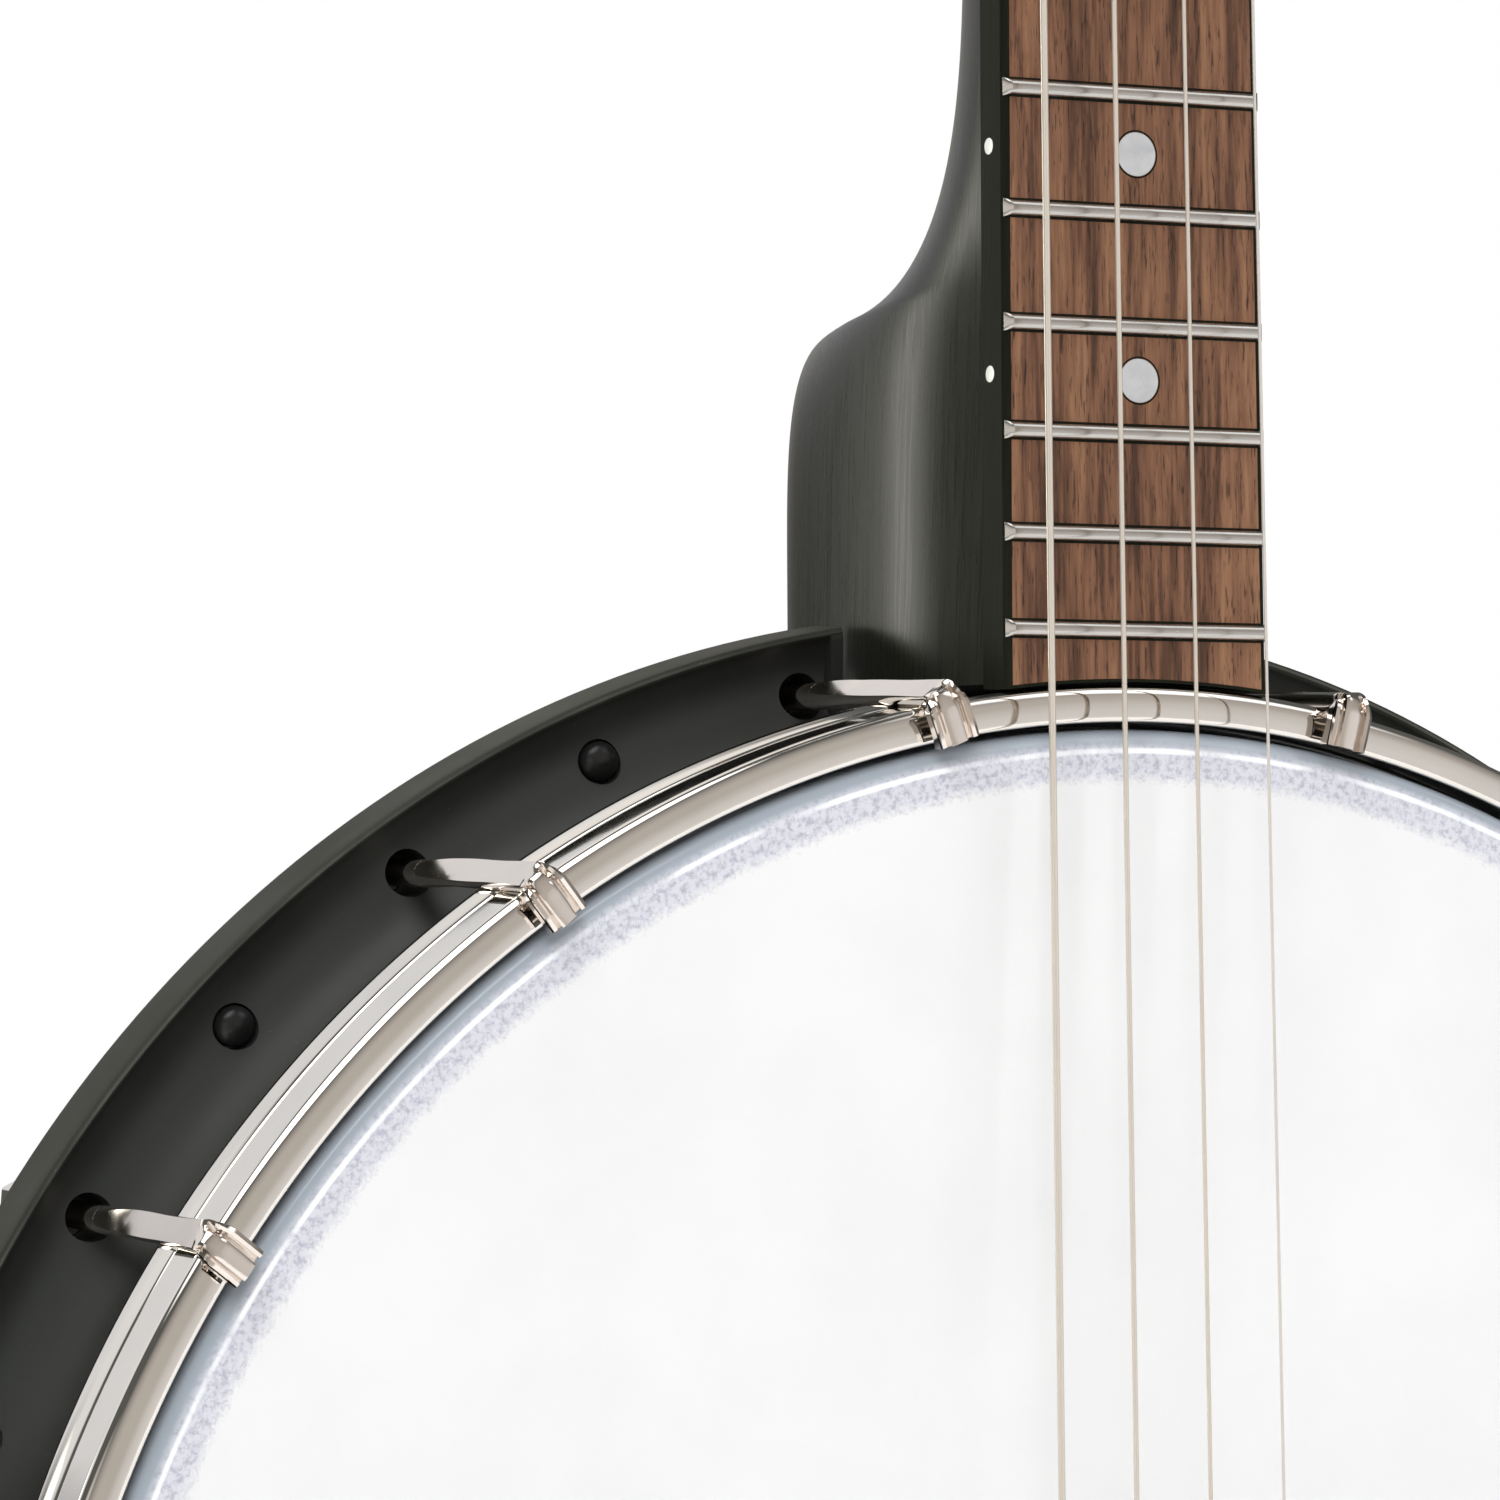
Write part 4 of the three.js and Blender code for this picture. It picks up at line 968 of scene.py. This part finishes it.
def make_fretboard():
    """Brown board, with black rounded edges along its sides and lower end."""
    foot_r = HOOP_WALL_R + 0.35
    section = [(0, BOARD_THICKNESS), *arc(EDGE_WIDTH, EDGE_WIDTH, EDGE_WIDTH, 180, 270, 8)]
    edge = moved(loft([[(x, y, z) for x, z in board_outline(inset)] for inset, y in section]), NECK)
    piece("fretboard_edge", carve(edge, pot_clearance(foot_r, 60)), EDGE_WOOD, ["fretboard"])
    board = moved(prism(board_outline(EDGE_WIDTH), -0.04, BOARD_THICKNESS - 1), NECK)
    piece("fretboard_wood", carve(board, pot_clearance(foot_r + 0.4, 60)), BOARD_WOOD)


def make_frets():
    """Each fret runs to the edge of the board. Its filed ends are flat bevels, wider than its crown."""
    foot_w, crown_w, crown_h, bevel, shadow_half = 1.14, 0.9, 1.05, 1.15, 1.2
    filed = (0, 0.25, 0.5, 0.8)
    places = [(-1, b) for b in filed] + [(0, 1)] + [(1, b) for b in reversed(filed)]
    slots = []
    for n in range(1, FRET_COUNT + 1):
        z = fret_along(n)
        half = board_half(z) + 0.05
        loops = []
        for side, bevels in places:
            height = crown_h * min(1.0, 0.03 + bevels * 1.05)
            width = between(foot_w, crown_w, bevels)
            x = side * (half - bevel * bevels)
            loops.append([(x, -height * math.sin(a) ** 0.7, z + width * math.cos(a))
                          for a in (math.radians(d) for d in range(0, 181, 15))])
        piece(f"fret_{n:02d}", moved(loft(loops), NECK), FRET_METAL, sharp_angle=28)
        # A dark strip in the wood reaching past each side of the fret: painted shadow of the fret.
        slots.append(box(EDGE_WIDTH - half, half - EDGE_WIDTH, -0.07, 0.5, z - shadow_half, z + shadow_half))
    piece("fret_painted_shadows", moved(merged(*slots), NECK), EDGE_WOOD)


def make_dots():
    """Pearl dots in the board, each in a thin line of glue, and small dots in its bass edge."""
    dot_r, glue, depth = 2.75, 0.2, 0.8
    pair_x, single_x = 6.2, 0.6
    side_r, side_depth, side_rise, side_gap = 1.0, 3.5, 0.45, 5
    disc = spun([(0, -0.09), (dot_r - 0.2, -0.09), (dot_r, -0.01), (dot_r, depth), (0, depth)], 40)
    ring = lathe([(dot_r, -0.06), (dot_r + glue, -0.06), (dot_r + glue, depth), (dot_r, depth)], 40)
    spot = spun([(0, -0.06), (side_r, -0.04), (side_r, 0.6), (0, 0.6)], 28)
    for n in DOT_FRETS:
        z = (fret_along(n) + fret_along(n - 1)) / 2
        offsets = (-pair_x, pair_x) if n == DOUBLE_DOT_FRET else (single_x,)
        for k, x in enumerate(offsets):
            number = f"{n:02d}_{k + 1}"
            at = NECK @ Matrix.Translation((x, 0, z))
            piece(f"fret_dot_{number}", moved(disc, at), DOT_PEARL)
            piece(f"fret_dot_glue_{number}", moved(ring, at), EDGE_WOOD)
            rise = side_rise + (k - 0.5) * (len(offsets) - 1) * side_gap
            at = (NECK @ Matrix.Translation((-board_half(z), side_depth, z + rise))
                  @ Matrix.Rotation(-math.pi / 2, 4, "Z"))
            piece(f"side_dot_{number}", moved(spot, at), SIDE_DOT)


def string_slots(spread, clearance, y0, y1, z0, z1):
    """A box across each string; y1 is measured from the string's axis to the slot's floor."""
    slots = []
    for i, d in enumerate(STRING_DIAMETERS):
        x = string_x(i, spread)
        half = d / 2 + clearance
        slots.append(box(x - half, x + half, y0, y1 + d / 2, z0, z1))
    return merged(*slots)


def make_nut():
    top = -STRING_OVER_NUT - 0.7
    half = NUT_WIDTH / 2
    body = moved(box(-half, half, top, BOARD_THICKNESS, NUT_ALONG + 0.1, NUT_ALONG + 4.9), NECK)
    slots = string_slots(SPREAD_NUT, 0.05, top - 1, -STRING_OVER_NUT + 0.02, NUT_ALONG - 1, NUT_ALONG + 6)
    piece("string_nut", carve(bevelled(body, 0.8, 4, 50), moved(slots, NECK)), BONE, ["nut"])


# ---- Tuners -------------------------------------------------------------------------------------

def make_tuner(i):
    number = i + 1
    x, z = TUNER_PLACES[i]
    at = PEG @ Matrix.Translation((x, 0, z))
    back = PEGHEAD_THICKNESS + 0.3
    case = [(POST_R + 0.25, -3.4), *arc(5.4, -2.8, 0.6, 270, 330, 3), *arc(6.3, -1.7, 0.7, 300, 360, 3),
            (7.0, -0.02), (4.6, -0.02), (4.6, back), (7.9, back - 0.28),
            *arc(7.6, back + 0.6, 0.6, 320, 360, 3), (8.2, back + 3), (7.9, back + 3.3),
            (7.9, back + 3.9), (8.2, back + 4.2), (8.2, back + 13), *arc(7.0, back + 13, 1.2, 0, 60, 4),
            (6.4, back + 15), *arc(5.6, back + 16, 1.0, 10, 90, 3), (POST_R + 0.3, back + 17)]
    piece(f"tuner_case_{number}", moved(lathe(case, 64), at), NICKEL, [f"tuner_housing_{number}"])
    make_post(number, at, back + 7)
    make_button(number, at, back + 18)
    make_coil(number, at, STRING_DIAMETERS[i], COIL_METALS[i])


def make_post(number, at, end):
    """The string post, waisted where the string winds, with a hole across it."""
    tip, waist = -19.5, 2.4
    profile = [(0, tip), (2.3, tip), *arc(2.5, -18.8, 0.7, 270, 360, 4), (POST_R, STRING_HOLE - 3.4),
               *bezier((POST_R, STRING_HOLE - 3), (waist, STRING_HOLE - 1.5), (waist, STRING_HOLE + 4),
                       (POST_R, STRING_HOLE + 7), 10),
               (POST_R, end), (0, end)]
    across = at @ Matrix.Translation((0, STRING_HOLE, 0)) @ Matrix.Rotation(math.pi / 2, 4, "Z")
    post = carve(moved(spun(profile), at), moved(rod_along_y(0.8, -6, 6, segments=20), across))
    piece(f"string_post_{number}", post, NICKEL, [f"tuner_post_{number}"], body=f"tuner_post_{number}")


def make_button(number, at, start):
    """A flattened, waisted grip on a short shaft, held by a screw."""
    length, around = 14.9, 48
    body = f"tuner_button_{number}"

    def boxy(c):
        return math.copysign(abs(c) ** 0.8, c)

    loops = []
    for share in shares(26):
        swell = math.sin(math.pi * (0.12 + 0.88 * share)) ** 0.55 if share < 1 else 0
        end = math.sqrt(max(0.0, 1 - max(0.0, (share - 0.72) / 0.28) ** 2))
        half_x = (4.0 + 6.9 * smoothstep(0.0, 0.45, share)) * (0.25 + 0.75 * end)
        half_z = (3.6 + 0.35 * swell) * (0.3 + 0.7 * end)
        loops.append([(half_x * boxy(math.cos(t)), start + length * share, half_z * boxy(math.sin(t)))
                      for t in (2 * math.pi * j / around for j in range(around))])
    piece(f"button_grip_{number}", moved(loft(loops), at), BUTTON_PEARL, [body], body, sharp_angle=60)
    inside = PEGHEAD_THICKNESS + 9
    shaft = spun([(0, inside), (2.2, inside), (2.2, start - 0.9), (3.4, start - 0.7), (3.4, start + 0.3),
                  (0, start + 0.3)], 32)
    piece(f"button_shaft_{number}", moved(shaft, at), NICKEL, body=body)
    end = start + length
    screw = spun([(0, end + 0.25), (1.2, end + 0.2), (1.7, end - 0.1), (1.7, end - 1.2), (0, end - 1.2)], 24)
    piece(f"button_screw_{number}", moved(screw, at), NICKEL, body=body)


def make_coil(number, at, diameter, metal):
    """The turns of string wound on the post."""
    turns, per_turn = 3.5, 28
    radius = COIL_R + diameter / 2
    pitch = max(diameter, 0.45)
    points = []
    for share in shares(int(turns * per_turn)):
        turned = turns * share
        a = 2 * math.pi * turned
        points.append(Vector((radius * math.cos(a), COIL_START + pitch * turned, radius * math.sin(a))))
    coil = tube(points, [diameter / 2] * len(points), 8)
    piece(f"string_coil_{number}", moved(coil, at), metal, body=f"tuner_post_{number}", sharp_angle=60)


# ---- Strings, bridge, tailpiece -----------------------------------------------------------------

def string_points(i):
    """The string's axis from under the tailpiece, over the bridge and nut, to its post."""
    x, z = TUNER_PLACES[i]
    half = STRING_DIAMETERS[i] / 2
    bridge_x = string_x(i, SPREAD_BRIDGE)
    nut_x = string_x(i, SPREAD_NUT)
    tail_x = bridge_x * TAIL_SPREAD
    return [Vector((tail_x, TAIL_TOP + 2.5, TAIL_LIP_Z - 13.5)),
            Vector((tail_x, TAIL_TOP - half, TAIL_LIP_Z - 11)),
            Vector((tail_x, TAIL_TOP - half, TAIL_LIP_Z)),
            Vector((bridge_x, STRING_AT_BRIDGE, BRIDGE_Z - 1.1)),
            Vector((bridge_x, STRING_AT_BRIDGE, BRIDGE_Z + 1.1)),
            NECK @ Vector((nut_x, -STRING_OVER_NUT, NUT_ALONG + 1)),
            NECK @ Vector((nut_x, -STRING_OVER_NUT + 0.25, NUT_ALONG + 4.5)),
            PEG @ Vector((x - math.copysign(COIL_R + half, x), COIL_START + 0.6, z))]


def wound(points, radius, pitch):
    """A tube whose radius ripples once per turn of its wrap wire."""
    samples, radii = [], []
    for a, b in zip(points, points[1:]):
        count = max(1, int((b - a).length / pitch))
        for k in range(count):
            samples += [a.lerp(b, k / count), a.lerp(b, (k + 0.5) / count)]
            radii += [radius * 0.9, radius]
    return tube(samples + points[-1:], radii + [radius * 0.9], 8)


def make_strings():
    for i, (d, wrap) in enumerate(zip(STRING_DIAMETERS, STRING_WRAPS)):
        points = string_points(i)
        string = wound(points, d / 2, wrap) if wrap else tube(points, [d / 2] * len(points), 12)
        piece(f"string_wire_{i + 1}", string, STRING_METALS[i], [f"string_{i + 1}"],
              sharp_angle=75 if wrap else 180)


def bridge_outline(low, high):
    """(x, height) round the maple: three feet, two arches and sloping shoulders."""
    foot = 33
    centre, half = 14.5, 8.2
    arch = [(x, max(low, y)) for x, y in arc(centre, 3.2, half * 0.9, -20, 200, 20)]
    right = [(0, low), (centre - half + 0.4, low), *reversed(arch), (centre + half - 0.4, low), (foot, low),
             (foot - 0.6, 2.5), *bezier((foot - 2, 5), (27, 6.5), (25, 11), (22, high), 10)]
    return right + [(-x, y) for x, y in reversed(right[1:])]


def make_bridge():
    """A maple bridge that tapers upwards, with an ebony cap slotted for the strings."""
    top = -STRING_AT_BRIDGE - 0.3
    wood_top = top - 1.4
    foot_half, top_half = 3.9, 1.25

    def tapered(outline):
        return loft([[(x, -h, BRIDGE_Z + side * between(foot_half, top_half, h / top)) for x, h in outline]
                     for side in (-1, 1)])

    maple = bevelled(tapered(bridge_outline(0.05, wood_top)), 0.35, 3, 45)
    piece("bridge_body", maple, MAPLE, ["bridge"])
    half_cap = [(21.9, wood_top), (21.0, top - 0.2), (20.4, top)]
    cap = bevelled(tapered(half_cap + [(-x, h) for x, h in reversed(half_cap)]), 0.2, 2, 45)
    slots = string_slots(SPREAD_BRIDGE, 0.03, STRING_AT_BRIDGE - 2, STRING_AT_BRIDGE,
                         BRIDGE_Z - 4, BRIDGE_Z + 4)
    piece("bridge_cap", carve(cap, slots), EBONY)


def rounded_strip(half, thick):
    """A flat strip's section with rounded edges, as (x, height)."""
    corner = thick * 0.9
    right = [*arc(half - corner, thick - corner, corner, 90, 0, 5),
             *arc(half - corner, corner - thick, corner, 0, -90, 5)]
    return right + [(-x, h) for x, h in reversed(right)]


def tail_path(outside, skin, bend):
    """(z, depth, heading) along the tailpiece: over the head, round the bend, down outside the hoop."""
    plate = [(between(TAIL_LIP_Z, outside + bend, share), skin, 90) for share in shares(22)]
    turn = [(outside + bend * (1 - math.sin(a)), skin + bend * (1 - math.cos(a)), 90 - math.degrees(a))
            for a in (math.radians(d) for d in range(10, 91, 10))]
    leg = [(outside, between(skin + bend, TAIL_LEG_END - 0.2, share), 0) for share in shares(10, 1)]
    return plate + turn + leg


def make_tailpiece():
    """A pressed plate over the head, turned down outside the hoop and clamped by the rod's nut."""
    half_thick, lip_half, leg_half = 0.8, 19, 10
    lip_round, leg_round, rows = 3.0, 4.0, 4
    path = tail_path(TAIL_LOW_Z + half_thick, TAIL_TOP + half_thick, 3.2)
    last = len(path) - 1
    loops = []
    for k, (z, y, heading) in enumerate(path):
        half = between(lip_half, leg_half, smoothstep(0.25, 0.6, k / last))
        if k < rows:
            half -= lip_round * (1 - math.sqrt(1 - (1 - k / rows) ** 2))
        if k > last - rows:
            half -= leg_round * (1 - math.sqrt(1 - ((k - last + rows) / rows) ** 2))
        a = math.radians(heading)
        loops.append([(x, y - h * math.sin(a), z - h * math.cos(a))
                      for x, h in rounded_strip(half, half_thick)])
    above, below = TAIL_TOP - 3, TAIL_TOP + 4
    rod_hole = on_rod_axis(rod_along_y(ROD_HOLE_R, TAIL_LOW_Z - 5, TAIL_LOW_Z + 5))
    places = [string_x(i, SPREAD_BRIDGE) * TAIL_SPREAD for i in range(len(STRING_DIAMETERS))]
    string_holes = [rod_along_y(0.9, above, below, x, TAIL_LIP_Z - 12.3, 24) for x in places]
    window = rod_along_y(4.5, above, below, 0, TAIL_LIP_Z - 27, 48)
    plate = carve(as_mesh(loft(loops), 50), merged(rod_hole, *string_holes, window), sharp_angle=50)
    piece("tailpiece_plate", plate, NICKEL, ["tailpiece"])


# ---- Rod and fixings ----------------------------------------------------------------------------

def threads(radius, start, stop, pitch=1.25, depth=0.35):
    points = []
    count = int(abs(stop - start) / pitch)
    step = (stop - start) / count
    for k in range(count):
        points += [(radius - depth, start + step * (k + 0.25)), (radius, start + step * (k + 0.75))]
    return points


def make_rod():
    """The rod's threaded end passes through the rim; its other end is a socket on the heel's stud."""
    stud_r, rod_r, collar_r, socket_r, bore_r = 3.9, 4.8, 7.2, 6, 4.1
    inner = RIM_R - RIM_WALL
    shoulder = 1.3 - inner
    low, socket = ROD_LOW.z, ROD_HIGH.z
    rod = [(0, low), (stud_r - 0.7, low), *threads(stud_r, low + 0.7, -(RIM_R + 1)),
           (stud_r, shoulder), (collar_r, shoulder), (collar_r, shoulder + 4.6),
           (collar_r - 0.4, shoulder + 5), (rod_r, shoulder + 5),
           (rod_r, socket - 16), (socket_r - 0.3, socket - 16), (socket_r, socket - 15.6),
           (socket_r, socket - 0.5), (socket_r - 0.4, socket), (bore_r, socket), (bore_r, socket - 8),
           (0, socket - 8)]
    piece("rod_bar", on_rod_axis(spun(rod)), STEEL, ["coordinator_rod"])
    stud_end = 164
    stud = [(0, STUD_LOW.z), *threads(stud_r, STUD_LOW.z + 0.5, inner + 6), (stud_r, stud_end), (0, stud_end)]
    clamp = bevelled(on_rod_axis(prism(hexagon(7.4), inner - 6.6, inner - 1.0)), 0.5, 3, 50)
    piece("neck_stud_nut", carve(on_rod_axis(spun(stud)), clamp, "UNION"), STEEL, ["neck_stud"])
    nut = bevelled(on_rod_axis(prism(hexagon(7), ROD_NUT_LOW.z, ROD_NUT_HIGH.z)), 0.6, 3, 50)
    bore = on_rod_axis(rod_along_y(bore_r, ROD_NUT_LOW.z - 5, ROD_NUT_HIGH.z + 5))
    piece("rod_end_nut", carve(nut, bore), NICKEL, ["rod_nut"])


# ---- Stage --------------------------------------------------------------------------------------

CAMERA_AT = Vector((-433.8, -726.3, 141.0))
CAMERA_FORWARD = Vector((0.463978, 0.885836, -0.004329))
CAMERA_UP = Vector((-0.011108, 0.010705, 0.999881))
CAMERA_LENS = 167.61


def make_camera():
    data = bpy.data.cameras.new("main_camera")
    data.lens = CAMERA_LENS
    data.sensor_width = 36
    data.clip_start, data.clip_end = 0.02, 50
    camera = in_scene("main_camera", data)
    right = CAMERA_FORWARD.cross(CAMERA_UP).normalized()
    up = right.cross(CAMERA_FORWARD).normalized()
    rotation = Matrix((right, up, -CAMERA_FORWARD)).transposed().to_4x4()
    camera.matrix_world = Matrix.Translation(CAMERA_AT * MM) @ rotation
    bpy.context.scene.camera = camera


def floor_paper():
    m = new_material("floor_paper")
    fibres = m.noise(m.position(), 2.0, 4.0)
    tone = m.mix(m.rise(fibres, 0.4, 0.6), (0.86, 0.86, 0.86), (0.9, 0.9, 0.9))
    return m.finish(tone, 0.8, m.bump(fibres, 0.05, 0.1))


def make_floor():
    radius, thick = 900, 4
    top = cad_box[0][2] / MM - 0.5
    disc = spun([(0, top), (radius, top), (radius, top - thick), (0, top - thick)], 96)
    mesh = as_mesh(moved(disc, Matrix.Rotation(math.pi / 2, 4, "X")))
    mesh.materials.append(floor_paper())
    in_scene("floor", mesh)


def studio_panel(m, direction, centre, half_angle, softness):
    """1 inside a cone of directions about centre, 0 outside it; angles in degrees."""
    dot = m.add("ShaderNodeVectorMath", operation="DOT_PRODUCT")
    m.link(direction, dot.inputs[0])
    dot.inputs[1].default_value = Vector(centre).normalized()
    outer = math.cos(math.radians(half_angle + softness / 2))
    inner = math.cos(math.radians(half_angle - softness / 2))
    return m.rise(dot.outputs["Value"], outer, inner)


def studio_strip(m, direction, heading, half_width, low, high, softness):
    """1 inside an upright strip of directions. heading, half_width and softness are in degrees, low and
    high are heights."""
    x, y, z = m.split(direction)
    off = m.math("ABSOLUTE", m.math("SUBTRACT", m.math("ARCTAN2", x, y), math.radians(heading)))
    edges = [math.radians(half_width + side * softness / 2) for side in (-1, 1)]
    return m.times(m.fall(off, *edges), m.band(z, low - 0.08, low + 0.08, high - 0.08, high + 0.08))


STUDIO_DIM = (0.11, 0.11, 0.105)
RIM_STRIP = (-36.5, 5, -0.55, 0.22, 4)
RIM_STRIP_COLOUR = (6.6, 6.5, 5.8)
STUDIO_PANELS = (
    # centre direction, half angle, softness, colour
    ((0.35, -0.94, -0.05), 50, 50, (0.53, 0.495, 0.46)),
    ((0.75, -0.62, -0.25), 22, 30, (0.84, 0.83, 0.83)),
    ((-0.85, -0.52, 0.05), 18, 10, (0.95, 0.91, 0.86)),
    ((0.22, 0.94, 0.26), 13, 8, (0.62, 0.58, 0.54)),
    ((-0.13, 0.88, 0.45), 22, 6, (0.78, 0.79, 0.81)),
    ((-0.58, 0.68, 0.44), 14, 8, (0.85, 0.86, 0.87)),
    ((0.15, 0.72, 0.68), 12, 8, (0.95, 0.93, 0.90)),
    ((-0.40, -0.05, 0.91), 27, 6, (3.0, 3.0, 3.0)),
    ((0.50, -0.40, 0.75), 12, 8, (1.6, 1.62, 1.65)),
)


def make_world():
    """White to the camera; to reflections, a dim studio with soft panels round the banjo."""
    world = bpy.data.worlds.new("studio")
    bpy.context.scene.world = world
    m = Nodes(world)
    direction = m.add("ShaderNodeTexCoord").outputs["Generated"]
    colour = STUDIO_DIM
    for *panel, light in STUDIO_PANELS:
        colour = m.mix(studio_panel(m, direction, *panel), colour, light)
    colour = m.mix(studio_strip(m, direction, *RIM_STRIP), colour, RIM_STRIP_COLOUR)
    background = m.tree.nodes["Background"]
    m.link(colour, background.inputs["Color"])
    white = m.add("ShaderNodeBackground", Color=(1, 1, 1, 1), Strength=1.0)
    path = m.add("ShaderNodeLightPath")
    mix = m.add("ShaderNodeMixShader")
    sources = (path.outputs["Is Camera Ray"], background.outputs[0], white.outputs[0])
    for source, target in zip(sources, mix.inputs):
        m.link(source, target)
    m.link(mix.outputs[0], m.tree.nodes["World Output"].inputs["Surface"])
    bpy.context.scene.view_settings.view_transform = "Standard"


def softbox(name, place, size, power):
    """A light aimed at the pot that doesn't show in reflections."""
    data = bpy.data.lights.new(name, "AREA")
    data.shape = "RECTANGLE"
    data.size, data.size_y = size
    data.energy = power
    light = in_scene(name, data)
    light.location = place
    light.rotation_euler = (Vector((0, 0, 0.1)) - light.location).to_track_quat("-Z", "Y").to_euler()
    light.visible_glossy = False


# ---- Build --------------------------------------------------------------------------------------

make_rim()
make_flange_ends()
make_plugs()
make_head()
make_flesh_hoop()
make_tension_hoop()
make_hooks()
make_hook_nuts()
make_neck()
make_peghead()
make_fretboard()
make_frets()
make_dots()
make_nut()
for tuner in range(len(TUNER_PLACES)):
    make_tuner(tuner)
make_strings()
make_bridge()
make_tailpiece()
make_rod()
make_floor()
make_world()
softbox("key_softbox", (-0.9, -1.3, 1.3), (1.2, 1.2), 20)
softbox("fill_softbox", (1.2, -1.3, 0.6), (1.0, 1.2), 10)
make_camera()
